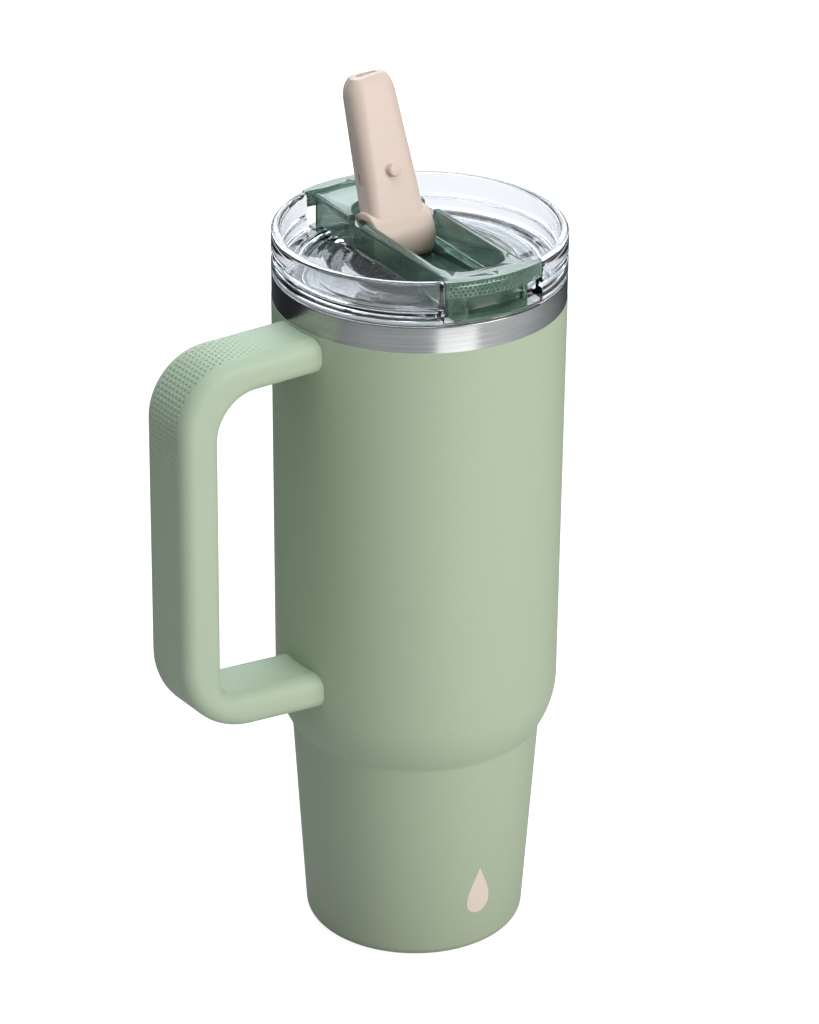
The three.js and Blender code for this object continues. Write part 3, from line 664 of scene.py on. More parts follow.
def linear(red: int, green: int, blue: int) -> Colour:
    """A linear colour from display values of 0 to 255.

    Args:
        red: first channel.
        green: second channel.
        blue: third channel.

    Returns:
        The colour.
    """

    def one(value: int) -> float:
        """One channel, made linear."""
        share = value / 255
        return share / 12.92 if share <= 0.04045 else ((share + 0.055) / 1.055) ** 2.4

    return (one(red), one(green), one(blue))


class SharedEffects:
    """Node groups that several finishes use."""

    def __init__(self) -> None:
        """Builds each group once."""
        self.grain = self._noise("Grain", (1, 1, 1))
        self.turned_lines = self._noise("Turned lines", (0.012, 0.012, 1))

    def _noise(self, name: str, stretch: Colour) -> bpy.types.NodeTree:
        """A group that gives a mask of stretched noise and a slow, broad variation.

        Args:
            name: name of the group.
            stretch: factor on each coordinate before the fine noise.

        Returns:
            The group, with inputs Scale, Detail, Contrast and Broad, and outputs Mask and Patches.
        """
        tree = bpy.data.node_groups.new(name, "ShaderNodeTree")
        usual = (("Scale", 1000.0), ("Detail", 2.0), ("Contrast", 1.0), ("Broad", 30.0))
        for label, value in usual:
            socket = tree.interface.new_socket(
                name=label, in_out="INPUT", socket_type="NodeSocketFloat"
            )
            socket.default_value = value
        for label in ("Mask", "Patches"):
            tree.interface.new_socket(name=label, in_out="OUTPUT", socket_type="NodeSocketFloat")
        board = Board(tree)
        entry, leave = board.put("NodeGroupInput"), board.put("NodeGroupOutput")
        place = board.put("ShaderNodeTexCoord")
        mapping = board.put("ShaderNodeMapping", Scale=stretch)
        fine, broad = board.put("ShaderNodeTexNoise"), board.put("ShaderNodeTexNoise")
        board.join(place.outputs["Object"], mapping.inputs["Vector"])
        board.join(mapping.outputs["Vector"], fine.inputs["Vector"])
        board.join(place.outputs["Object"], broad.inputs["Vector"])
        board.join(entry.outputs["Scale"], fine.inputs["Scale"])
        board.join(entry.outputs["Detail"], fine.inputs["Detail"])
        board.join(entry.outputs["Broad"], broad.inputs["Scale"])
        middle = 0.5
        centred = board.maths("SUBTRACT", fine.outputs["Fac"], middle)
        scaled = board.maths("MULTIPLY", centred, entry.outputs["Contrast"])
        back = board.maths("ADD", scaled, middle)
        back.node.use_clamp = True
        board.join(back, leave.inputs["Mask"])
        board.join(broad.outputs["Fac"], leave.inputs["Patches"])
        return tree


def scaled_colour(colour: Colour, factor: float) -> Colour:
    """A colour made darker or lighter by a factor."""
    return tuple(channel * factor for channel in colour)


@dataclass(frozen=True)
class PowderCoat:
    """Baked powder paint: a fine orange-peel skin with faint speckle."""

    colour: Colour = linear(175, 189, 162)
    speckle: float = 0.94
    peel_scale: float = 1500
    peel_depth: float = 0.00003
    peel_strength: float = 0.55
    roughness: tuple[float, float] = (0.42, 0.52)
    gloss: float = 0.42

    def make(self, effects: SharedEffects) -> bpy.types.Material:
        """Builds the material.

        Args:
            effects: the shared node groups.

        Returns:
            The material.
        """
        board = Skin("powder_coat_sage")
        peel = board.group(
            effects.grain, Scale=self.peel_scale, Detail=3.0, Contrast=1.6, Broad=22.0
        )
        board.tint(peel.outputs["Mask"], scaled_colour(self.colour, self.speckle), self.colour)
        board.roughen(peel.outputs["Patches"], *self.roughness)
        board.bump(peel.outputs["Mask"], self.peel_depth, self.peel_strength)
        board.fixed(Specular_IOR_Level=self.gloss)
        return board.material


@dataclass(frozen=True)
class BrushedSteel:
    """Bare stainless steel with fine lines from turning."""

    name: str = "brushed_steel"
    colour: Colour = (0.45, 0.45, 0.45)
    line_scale: float = 3600
    line_depth: float = 0.000012
    roughness: tuple[float, float] = (0.13, 0.27)
    line_shade: float = 0.72
    line_strength: float = 0.6

    def make(self, effects: SharedEffects) -> bpy.types.Material:
        """Builds the material.

        Args:
            effects: the shared node groups.

        Returns:
            The material.
        """
        board = Skin(self.name)
        lines = board.group(
            effects.turned_lines, Scale=self.line_scale, Detail=4.0, Contrast=2.6, Broad=35.0
        )
        board.tint(lines.outputs["Mask"], scaled_colour(self.colour, self.line_shade), self.colour)
        board.roughen(lines.outputs["Mask"], *self.roughness)
        board.bump(lines.outputs["Mask"], self.line_depth, self.line_strength)
        board.fixed(Metallic=1.0)
        return board.material


@dataclass(frozen=True)
class MouldedPlastic:
    """Opaque moulded plastic or rubber with a fine matt grain."""

    name: str
    colour: Colour
    shade: float = 0.95
    grain_scale: float = 2600
    grain_depth: float = 0.000016
    roughness: tuple[float, float] = (0.4, 0.5)
    inner_glow: float = 0.0
    grain_strength: float = 0.5
    glow_depth: float = 0.002

    def make(self, effects: SharedEffects) -> bpy.types.Material:
        """Builds the material.

        Args:
            effects: the shared node groups.

        Returns:
            The material.
        """
        board = Skin(self.name)
        grain = board.group(
            effects.grain, Scale=self.grain_scale, Detail=2.0, Contrast=1.4, Broad=18.0
        )
        board.tint(grain.outputs["Patches"], scaled_colour(self.colour, self.shade), self.colour)
        board.roughen(grain.outputs["Mask"], *self.roughness)
        board.bump(grain.outputs["Mask"], self.grain_depth, self.grain_strength)
        if self.inner_glow:
            board.fixed(Subsurface_Weight=self.inner_glow, Subsurface_Scale=self.glow_depth)
        return board.material


@dataclass(frozen=True)
class SeeThroughPlastic:
    """Clear or tinted plastic, polished or lightly frosted."""

    name: str
    colour: Colour
    deep: Colour
    transmission: float
    roughness: tuple[float, float]
    ior: float = 1.49
    wave_depth: float = 0.000001
    wave_strength: float = 0.3

    def make(self, effects: SharedEffects) -> bpy.types.Material:
        """Builds the material.

        Args:
            effects: the shared node groups.

        Returns:
            The material.
        """
        board = Skin(self.name)
        flow = board.group(effects.grain, Scale=120.0, Detail=1.0, Contrast=1.2, Broad=60.0)
        board.tint(flow.outputs["Patches"], self.deep, self.colour)
        board.roughen(flow.outputs["Mask"], *self.roughness)
        board.bump(flow.outputs["Mask"], self.wave_depth, self.wave_strength)
        board.fixed(Transmission_Weight=self.transmission, IOR=self.ior)
        return board.material


class Palette:
    """Every finish of the tumbler, built once."""

    def __init__(self) -> None:
        """Builds the shared effects and the materials."""
        effects = SharedEffects()
        self.coat = PowderCoat().make(effects)
        self.steel = BrushedSteel().make(effects)
        self.liner = BrushedSteel(
            name="liner_steel",
            colour=(0.66, 0.66, 0.67),
            line_scale=5000,
            line_depth=0.000008,
            roughness=(0.16, 0.3),
        ).make(effects)
        self.getter = MouldedPlastic(name="getter_grey", colour=linear(120, 120, 122)).make(effects)
        self.grip = MouldedPlastic(
            name="grip_sage",
            colour=linear(178, 193, 168),
            shade=0.95,
            grain_scale=2200,
            grain_depth=0.00002,
            roughness=(0.46, 0.58),
        ).make(effects)
        self.blush = MouldedPlastic(
            name="spout_blush",
            colour=linear(224, 202, 189),
            shade=0.96,
            grain_scale=3000,
            grain_depth=0.00001,
            roughness=(0.36, 0.46),
            inner_glow=0.06,
        ).make(effects)
        self.silicone = MouldedPlastic(
            name="seal_silicone",
            colour=linear(226, 228, 226),
            shade=0.96,
            grain_scale=1800,
            grain_depth=0.00001,
            roughness=(0.45, 0.55),
            inner_glow=0.2,
        ).make(effects)
        self.ink = MouldedPlastic(
            name="printed_mark",
            colour=linear(232, 214, 202),
            shade=0.97,
            grain_scale=4000,
            grain_depth=0.000008,
            roughness=(0.45, 0.55),
        ).make(effects)
        self.clear = SeeThroughPlastic(
            name="clear_plastic_shell",
            colour=(0.95, 0.96, 0.99),
            deep=(0.93, 0.945, 0.98),
            transmission=1.0,
            roughness=(0.0, 0.03),
        ).make(effects)
        self.straw = SeeThroughPlastic(
            name="straw_plastic",
            colour=(0.97, 0.98, 0.98),
            deep=(0.94, 0.96, 0.96),
            transmission=0.9,
            roughness=(0.08, 0.16),
        ).make(effects)
        self.tinted = SeeThroughPlastic(
            name="tinted_bridge",
            colour=linear(132, 160, 146),
            deep=linear(118, 147, 132),
            transmission=0.7,
            roughness=(0.08, 0.16),
            ior=1.5,
        ).make(effects)


def shown(
    piece: bpy.types.Object, look: bpy.types.Material, body: Rides, slot: Slot, *nodes: str
) -> bpy.types.Object:
    """Dresses a finished piece and ties it to its body.

    Args:
        piece: the finished mesh.
        look: its material.
        body: the body that it rides on.
        slot: the record's slot; it is not used.
        nodes: CAD nodes that it stands for.

    Returns:
        The piece.
    """
    piece.data.materials.clear()
    piece.data.materials.append(look)
    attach(piece, body.value)
    if nodes:
        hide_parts(*nodes)
    log.info("%s: %d faces on %s", piece.name, len(piece.data.polygons), body.value)
    return piece


def dress_node(node: str, look: bpy.types.Material) -> None:
    """Gives a carried-over CAD node its material.

    Args:
        node: name of the CAD node.
        look: its material.
    """
    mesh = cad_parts[node].data
    mesh.materials.clear()
    mesh.materials.append(look)
    log.info("%s: kept", node)


# ------------------------------------------------------------------ the cup


@dataclass
class Cup:
    """The vacuum cup: coated wall, bare band, liner, base and the printed mark."""

    mouth_r: float = 45.0
    lip_z: float = 223.1
    band_z: float = 214.7
    belt_r: float = 44.3
    belt_z: float = 87.0
    waist_r: float = 39.1
    waist_z: float = 70.3
    foot_r: float = 34.5
    foot_round: float = 3.5
    wall: float = 0.8
    coat: float = 0.12
    band_tuck: float = 0.4
    corner_reach: float = 1.1
    base_r: float = 29.4
    base_thick: float = 1.2
    base_hollow: float = 0.5
    tread_r: float = 22.0
    mark_z: float = 22.3
    mark_turn: float = -91.2
    mark_h: float = 17.0
    mark_w: float = 12.0
    mark_belly: float = 1.6
    mark_lift: float = 0.05
    mark_depth: float = 0.2
    mark_cone: tuple[float, float] = (4.0, 45.0)

    def radius(self, z: float) -> float:
        """Outside radius of the upper body at a height.

        Args:
            z: the height.

        Returns:
            The radius.
        """
        share = (z - self.belt_z) / (self.lip_z - self.belt_z)
        return self.belt_r + (self.mouth_r - self.belt_r) * share

    def cone(self, z: float) -> float:
        """Outside radius of the lower cone at a height."""
        return self.foot_r + (self.waist_r - self.foot_r) * z / self.waist_z

    def outline(self) -> list[Point]:
        """The outside from the foot up to the band.

        Returns:
            Radius and height of each point.
        """
        sweep = 2 * math.atan((self.belt_r - self.waist_r) / (self.belt_z - self.waist_z))
        bend = (self.belt_z - self.waist_z) / math.sin(sweep)
        shoulder = arc(self.belt_r - bend, self.belt_z, bend, -math.degrees(sweep), 0, 14)
        below = self.waist_z - 10
        corner = eased((self.cone(below), below), shoulder[0], shoulder[1], self.corner_reach)
        round_r = self.foot_round
        foot = arc(self.cone(round_r) - round_r, round_r, round_r, -90, -3, 8)
        return [*foot, *corner, *shoulder[1:], (self.radius(self.band_z), self.band_z)]

    def coated_wall(self, look: bpy.types.Material) -> None:
        """The painted wall with its thin edge at the bare band.

        Args:
            look: its material.
        """
        outside = self.outline()
        inside = [(r - self.wall, max(z, self.wall)) for r, z in outside]
        top = outside[-1]
        rim = [(top[0], top[1] - self.coat), (top[0] - self.coat, top[1])]
        wall = spun("coated_wall", [*outside[:-1], *rim, *reversed(inside)], True)
        shown(shaded(wall), look, Rides.CUP, Slot.COAT, "outer_shell")

    def bare_band(self, look: bpy.types.Material) -> None:
        """The unpainted band under the lid.

        Args:
            look: its material.
        """
        r0, r1 = self.radius(self.band_z) - self.coat, self.radius(self.lip_z) - self.coat
        low = self.band_z - self.band_tuck
        profile = [
            (r0, low),
            (r1, self.lip_z - 0.45),
            *eased((r1, self.lip_z - 1), (r1, self.lip_z), (r1 - 1, self.lip_z), 0.35)[1:],
            (r1 - self.wall, self.lip_z),
            (r0 - self.wall, low),
        ]
        shown(shaded(spun("bare_band", profile, True)), look, Rides.CUP, Slot.STEEL)

    def base(self, look: bpy.types.Material) -> None:
        """The cover plate under the foot, with a shallow ring pressed into it.

        Args:
            look: its material.
        """
        t, up, tread = self.base_thick, self.base_hollow, self.tread_r
        profile = [
            (0, up),
            (tread - 2, up),
            *eased((tread - 2, up), (tread - 1, up), (tread - 0.4, 0), 0.5),
            (tread, 0),
            *eased((tread + 2, 0), (self.base_r, 0), (self.base_r, t), 0.6),
            (self.base_r, t),
            (0, t),
        ]
        plate = spun("base_cover", profile, False, 96)
        shown(shaded(plate), look, Rides.CUP, Slot.COAT, "base_plate")

    def mark(self, look: bpy.types.Material) -> None:
        """A plain water drop printed on the cone.

        Args:
            look: its material.
        """
        r, half = self.mark_w / 2, self.mark_h / 2
        angles = [math.pi * k / 20 for k in range(1, 20)]
        side = [
            (r * math.sin(a) * math.sin(a / 2) ** self.mark_belly, half * math.cos(a))
            for a in angles
        ]
        outline = [(0.0, half), *side, (0.0, -half), *[(-x, z) for x, z in reversed(side)]]
        reach = 3
        front = -self.cone(self.mark_z) - reach
        corners = [(x, front, z + self.mark_z) for x, z in outline]
        drop = slab("drop_mark", corners, (0, 2 * reach, 0))
        low, high = self.mark_cone
        skin = [
            (self.cone(low) + self.mark_lift, low),
            (self.cone(high) + self.mark_lift, high),
            (self.cone(high) - self.mark_depth, high),
            (self.cone(low) - self.mark_depth, low),
        ]
        carved(drop, spun("mark_skin", skin, True, 240), how="INTERSECT")
        turned_about_z(drop, math.radians(self.mark_turn + 90))
        shown(shaded(drop), look, Rides.CUP, Slot.BLUSH)

    def build(self, palette: Palette) -> None:
        """Builds and dresses the whole cup.

        Args:
            palette: the finishes.
        """
        self.coated_wall(palette.coat)
        self.bare_band(palette.steel)
        self.base(palette.coat)
        self.mark(palette.ink)
        liner = copied_node("steel_liner", "inner_liner")
        shown(liner, palette.liner, Rides.CUP, Slot.STEEL, "inner_liner")
        dress_node("shell_bottom", palette.steel)
        dress_node("vacuum_plug", palette.steel)
        for end in ("upper", "lower"):
            dress_node(f"handle_lug_{end}", palette.steel)
            dress_node(f"handle_screw_{end}", palette.steel)
        dress_node("getter", palette.getter)


@dataclass
class Handle:
    """The side handle with its dimpled grip and two screw caps."""

    out_x: float = 92.7
    thick: float = 13.7
    width: float = 22.4
    top_z: float = 214.0
    bottom_z: float = 91.2
    upper_thick: float = 11.4
    lower_thick: float = 12.4
    edge_round: float = 4.6
    bends: tuple[float, float, float, float] = (20.0, 26.0, 13.0, 4.5)
    dip: float = 5.0
    dimple_pitch: float = 1.9
    dimple_d: float = 1.45
    dimple_from_x: float = 59.0
    dimple_to_z: float = 174.0
    dimple_depth: float = 0.28
    dimple_fade: float = 16.0
    dimple_least: float = 0.28
    dimples_across: int = 7
    root_x: float = 30.0
    play: float = 0.05
    cap_r: float = 2.7
    cap_edge: float = 0.25

    def path(
        self, out: float, top: float, bottom: float, upper: float, lower: float, steps: int
    ) -> list[Point]:
        """One outline of the loop, out along the upper arm, down, and back in.

        Args:
            out: the loop's reach from the axis.
            top: height of the upper arm.
            bottom: height of the lower arm.
            upper: radius of the upper bend.
            lower: radius of the lower bend.
            steps: spans of each bend.

        Returns:
            The points, with x and z.
        """
        high = arc(-out + upper, top - upper, upper, 90, 180, steps)
        low = arc(-out + lower, bottom + lower, lower, 180, 270 - self.dip, steps)
        slope = math.tan(math.radians(self.dip))
        end_x, end_z = low[-1]
        root = (-self.root_x, end_z + (end_x + self.root_x) * slope)
        return [(-self.root_x, top), *high, *low, root]

    def spots(self) -> list[tuple[Vector, Vector, float]]:
        """Place, direction and size of each dimple along the outer face.

        Returns:
            One entry for each dimple.
        """
        bend = self.bends[0]
        arm = self.out_x - bend - self.dimple_from_x
        quarter = bend * math.pi / 2
        bar = self.top_z - bend - self.dimple_to_z
        row_step = self.dimple_pitch * math.sin(math.pi / 3)
        rows = int((arm + quarter + bar) / row_step)
        found = []
        for row in range(rows + 1):
            s = row * row_step
            if s < arm:
                place = Vector((-self.dimple_from_x - s, 0, self.top_z))
                out = Vector((0, 0, 1))
            elif s < arm + quarter:
                a = math.pi / 2 + (s - arm) / bend
                out = Vector((math.cos(a), 0, math.sin(a)))
                place = Vector((-self.out_x + bend, 0, self.top_z - bend)) + out * bend
            else:
                place = Vector((-self.out_x, 0, self.top_z - bend - (s - arm - quarter)))
                out = Vector((-1, 0, 0))
            fade = min(1.0, s / self.dimple_fade, (rows * row_step - s) / self.dimple_fade)
            size = self.dimple_d * max(self.dimple_least, math.sqrt(max(fade, 0)))
            across = self.dimples_across + row % 2
            for k in range(across):
                y = (k - (across - 1) / 2) * self.dimple_pitch
                found.append((place + Vector((0, y, 0)), out, size))
        return found

    def loop(self, look: bpy.types.Material) -> None:
        """The loop itself: side view extruded, long edges rounded, ends cut to the cup.

        Args:
            look: its material.
        """
        outer = self.path(self.out_x, self.top_z, self.bottom_z, self.bends[0], self.bends[1], 16)
        inner = self.path(
            self.out_x - self.thick,
            self.top_z - self.upper_thick,
            self.bottom_z + self.lower_thick,
            self.bends[2],
            self.bends[3],
            10,
        )
        half = self.width / 2
        outline = [(x, -half, z) for x, z in [*outer, *reversed(inner)]]
        grip = slab("grip_loop", outline, (0, self.width, 0))

        def on_side(a: Vector, b: Vector) -> bool:
            """Whether an edge is on the rim of one of the two flat sides."""
            flat = abs(abs(a.y) - half) < NEAR and abs(a.y - b.y) < NEAR
            return flat and min(a.x, b.x) < -self.root_x - 0.1

        bevel_edges(grip, on_side, self.edge_round, 7)
        cup, low, high = Cup(), 60, 230
        belt, mouth = cup.belt_r + self.play, cup.radius(high) + self.play
        room = [(0, low), (belt, low), (belt, cup.belt_z), (mouth, high), (0, high)]
        carved(grip, spun("cup_room", room, False))
        dimpled(grip, self.spots(), self.dimple_depth)
        shown(shaded(grip, 24), look, Rides.CUP, Slot.GRIP, "handle")

    def caps(self, look: bpy.types.Material) -> None:
        """The two caps over the screws, each with a softened edge.

        Args:
            look: their material.
        """
        low, high = (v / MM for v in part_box("screw_cap_upper"))
        middle = (low + high) / 2
        upper = rod(
            "grip_cap_upper", self.cap_r, (middle.x, middle.y, low.z), high.z - low.z, Axis.Z, 40
        )
        shaded(softened(upper, self.cap_edge))
        other_low, other_high = (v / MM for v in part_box("screw_cap_lower"))
        shift = (other_low + other_high) / 2 - middle
        lower = twin(upper, "grip_cap_lower", shift)
        shown(upper, look, Rides.CUP, Slot.GRIP, "screw_cap_upper")
        shown(lower, look, Rides.CUP, Slot.GRIP, "screw_cap_lower")

    def build(self, palette: Palette) -> None:
        """Builds and dresses the handle."""
        self.loop(palette.grip)
        self.caps(palette.grip)


# ------------------------------------------------------------------ the lid


@dataclass
class ChannelPlan:
    """Plan of the channel that the spout folds into."""

    half_w: float = 11.2
    near_y: float = -35.2
    back_y: float = 27.5
    corner: float = 8.6

    def outline(self, grow: float, steps: int = 10) -> list[Point]:
        """The plan, grown outwards.

        Args:
            grow: how far it is grown.
            steps: spans of each corner.

        Returns:
            The points, with x and y.
        """
        w, r = self.half_w + grow, self.corner + grow
        y0, y1 = self.near_y - grow, self.back_y + grow
        return [
            *arc(w - r, y1 - r, r, 0, 90, steps),
            *arc(-w + r, y1 - r, r, 90, 180, steps),
            *arc(-w + r, y0 + r, r, 180, 270, steps),
            *arc(w - r, y0 + r, r, 270, 360, steps),
        ]

    def room(self, name: str, grow: float, low: float, high: float) -> bpy.types.Object:
        """A tool in the shape of the plan, between two heights."""
        return slab(name, [(x, y, low) for x, y in self.outline(grow)], (0, 0, high - low))

    def flared_room(self, name: str, low: float, top: float, lip: float) -> bpy.types.Object:
        """A tool in the shape of the plan whose top opens out in a round, for a rounded mouth.

        Args:
            name: name of the tool.
            low: its underside.
            top: height of the surface that it opens into.
            lip: radius of the round.

        Returns:
            The tool.
        """
        tool = self.room(name, 0, low, top - lip)
        focus(tool)
        bpy.ops.object.mode_set(mode="EDIT")
        bpy.ops.mesh.select_mode(type="FACE")
        bpy.ops.mesh.select_all(action="DESELECT")
        bpy.ops.object.mode_set(mode="OBJECT")
        for face in tool.data.polygons:
            face.select = face.normal.z > 0.9
        bpy.ops.object.mode_set(mode="EDIT")
        half_l, mid = (self.back_y - self.near_y) / 2, (self.back_y + self.near_y) / 2
        grown, height = 0.0, top - lip
        for k in range(1, 6):
            a = math.radians(90 * k / 5)
            grow, z = lip * (1 - math.cos(a)), top - lip + lip * math.sin(a)
            rise = (0, 0, (z - height) * MM)
            bpy.ops.mesh.extrude_region_move(TRANSFORM_OT_translate={"value": rise})
            wider = (self.half_w + grow) / (self.half_w + grown)
            longer = (half_l + grow) / (half_l + grown)
            bpy.ops.transform.resize(
                value=(wider, longer, 1), center_override=(0, mid * MM, z * MM)
            )
            grown, height = grow, z
        bpy.ops.mesh.extrude_region_move(TRANSFORM_OT_translate={"value": (0, 0, 4 * MM)})
        settle()
        return tool


@dataclass
class LidSizes:
    """Sizes that the lid's pieces share."""

    lid_r: float = 44.9
    rim_z: float = 237.0
    rim_wall: float = 2.8
    floor_z: float = 226.0
    skirt_r: float = 39.0
    skirt_low: float = 208.6
    hub_y: float = 15.0
    hub_z: float = 229.0
    hub_r: float = 8.3
    hub_half: float = 10.2
    foot_plate_z: float = 223.95
    window_half_w: float = 17.0
    end_half_w: float = 16.7
    vent_ahead: float = 19.2
    lip_z: float = 223.1
    plan: ChannelPlan = field(default_factory=ChannelPlan)

    @property
    def wall_r(self) -> float:
        """Inside radius of the clear ring."""
        return self.lid_r - self.rim_wall

    @property
    def window_y(self) -> float:
        """Where the windows in the ring start."""
        return self.wall_r - 6


@dataclass
class ClearLid:
    """The clear ring, its ribbed floor and its threaded skirt."""

    sizes: LidSizes
    rings: tuple[float, ...] = (36.0, 29.0, 22.0)
    ring_w: float = 2.4
    ring_h: float = 0.14
    waist: float = 2.0
    skirt_wall: float = 2.3
    groove: float = 0.9
    groove_half: float = 1.3
    seat_r: float = 43.9
    edge: float = 0.16
    well_play: float = 1.8
    cup_play: float = 10.4
    thread_lead: float = 8.0
    thread_drop: float = 13.9
    thread_h: float = 0.9
    thread_root: float = 0.75
    thread_crest: float = 0.4

    def profile(self) -> list[Point]:
        """Half section of the clear piece, from the axis below to the axis above.

        Returns:
            Radius and height of each point.
        """
        s = self.sizes
        r, top, low = s.lid_r, s.rim_z, s.skirt_low
        seat, flange, band = s.lip_z + 0.4, s.lip_z + 5.1, s.lip_z + 6.6
        ledge = s.lip_z + 1.5
        seal, inner = s.lip_z - 2.9, s.skirt_r - self.skirt_wall
        neck = r - self.waist
        groove_r = s.skirt_r - self.groove
        under = s.floor_z - 2
        foot_in, wall_in = s.wall_r - 0.6, s.wall_r - 0.5
        floor = []
        for ring in self.rings:
            w = self.ring_w / 2
            for k in range(9):
                a = math.pi * k / 8
                height = s.floor_z + self.ring_h * math.sin(a) ** 2
                floor.append((ring + w * math.cos(a), height))
        return [
            (0, under),
            *eased((0, under), (inner, under), (inner, low), 0.8),
            *eased((inner, s.floor_z), (inner, low), (s.skirt_r, low), 0.5, 2),
            *eased((inner, low), (s.skirt_r, low), (s.skirt_r, seal), 0.5, 2),
            (s.skirt_r, seal - self.groove_half),
            (groove_r, seal - self.groove_half),
            (groove_r, seal + self.groove_half),
            (s.skirt_r, seal + self.groove_half),
            (s.skirt_r, ledge),
            (self.seat_r, ledge),
            (self.seat_r, seat),
            *eased((self.seat_r, seat), (r, seat), (r, flange), 0.35, 3),
            *eased((r, seat), (r, flange), (neck, flange), 0.5, 3),
            *eased((r, flange), (neck, flange), (neck, band), 0.4, 3),
            *eased((neck, flange), (neck, band), (r, band), 0.4, 3),
            *eased((neck, band), (r, band), (r, top), 0.45, 3),
            *arc(r - s.rim_wall / 2, top - 1.4, 1.4, 0, 180, 12),
            (wall_in, s.floor_z + 2.0),
            *eased((wall_in, s.floor_z + 2), (foot_in, s.floor_z), (s.wall_r - 4, s.floor_z), 1.3),
            *floor,
            (0, s.floor_z),
        ]

    def shell(self, look: bpy.types.Material) -> None:
        """The clear piece with room for the bridge and its ends.

        Args:
            look: its material.
        """
        s = self.sizes
        piece = spun("clear_lid", self.profile(), False, 180)
        well = s.plan.room("well_room", self.well_play, 200, 240)
        side = s.plan.half_w + 3
        cup = rod("cup_room", self.cup_play, (-side, s.hub_y, s.hub_z), 2 * side, Axis.X)
        half, low = s.window_half_w, s.foot_plate_z
        near = block("near_window", (-half, -46, low), (half, -s.window_y, 240))
        far = block("far_window", (-half, s.window_y, low), (half, 46, 240))
        carved(piece, well, cup, near, far)
        softened(piece, self.edge, 2, 50)
        turned_about_z(piece, LID_TURN)
        shown(shaded(piece, 28), look, Rides.LID, Slot.CLEAR, "lid_body")

    def thread(self, look: bpy.types.Material) -> None:
        """Two ridges round the skirt, each half a turn.

        Args:
            look: their material.
        """
        s = self.sizes
        z = s.lip_z - self.thread_drop
        root, crest = s.skirt_r - 0.3, s.skirt_r + self.thread_h
        section = [
            (root, 0, z - self.thread_root),
            (crest, 0, z - self.thread_crest),
            (crest, 0, z + self.thread_crest),
            (root, 0, z + self.thread_root),
        ]
        first = loop_wire("thread_ridge_1", section)
        applied(
            first,
            "SCREW",
            angle=math.pi,
            steps=72,
            render_steps=72,
            screw_offset=self.thread_lead / 2 * MM,
            axis="Z",
            use_merge_vertices=True,
        )
        close_ends(first)
        second = turned_about_z(twin(first, "thread_ridge_2"), math.pi)
        for ridge in (first, second):
            shown(shaded(ridge), look, Rides.LID, Slot.CLEAR)

    def build(self, palette: Palette) -> None:
        """Builds and dresses the clear pieces."""
        self.shell(palette.clear)
        self.thread(palette.clear)


def loop_wire(name: str, points: Sequence[Sequence[float]]) -> bpy.types.Object:
    """A closed wire, left as edges.

    Args:
        name: name of the object.
        points: points in millimetres, with x, y and z.

    Returns:
        The wire.
    """
    wire = traced(name, points, True)
    settle()
    return wire


def close_ends(piece: bpy.types.Object) -> None:
    """Fills the open ends of a swept piece and turns its faces outwards.

    Args:
        piece: the swept piece.
    """
    focus(piece)
    bpy.ops.object.mode_set(mode="EDIT")
    bpy.ops.mesh.select_mode(type="VERT")
    bpy.ops.mesh.select_all(action="DESELECT")
    bpy.ops.mesh.select_non_manifold()
    bpy.ops.mesh.fill()
    settle()
    heal(piece)


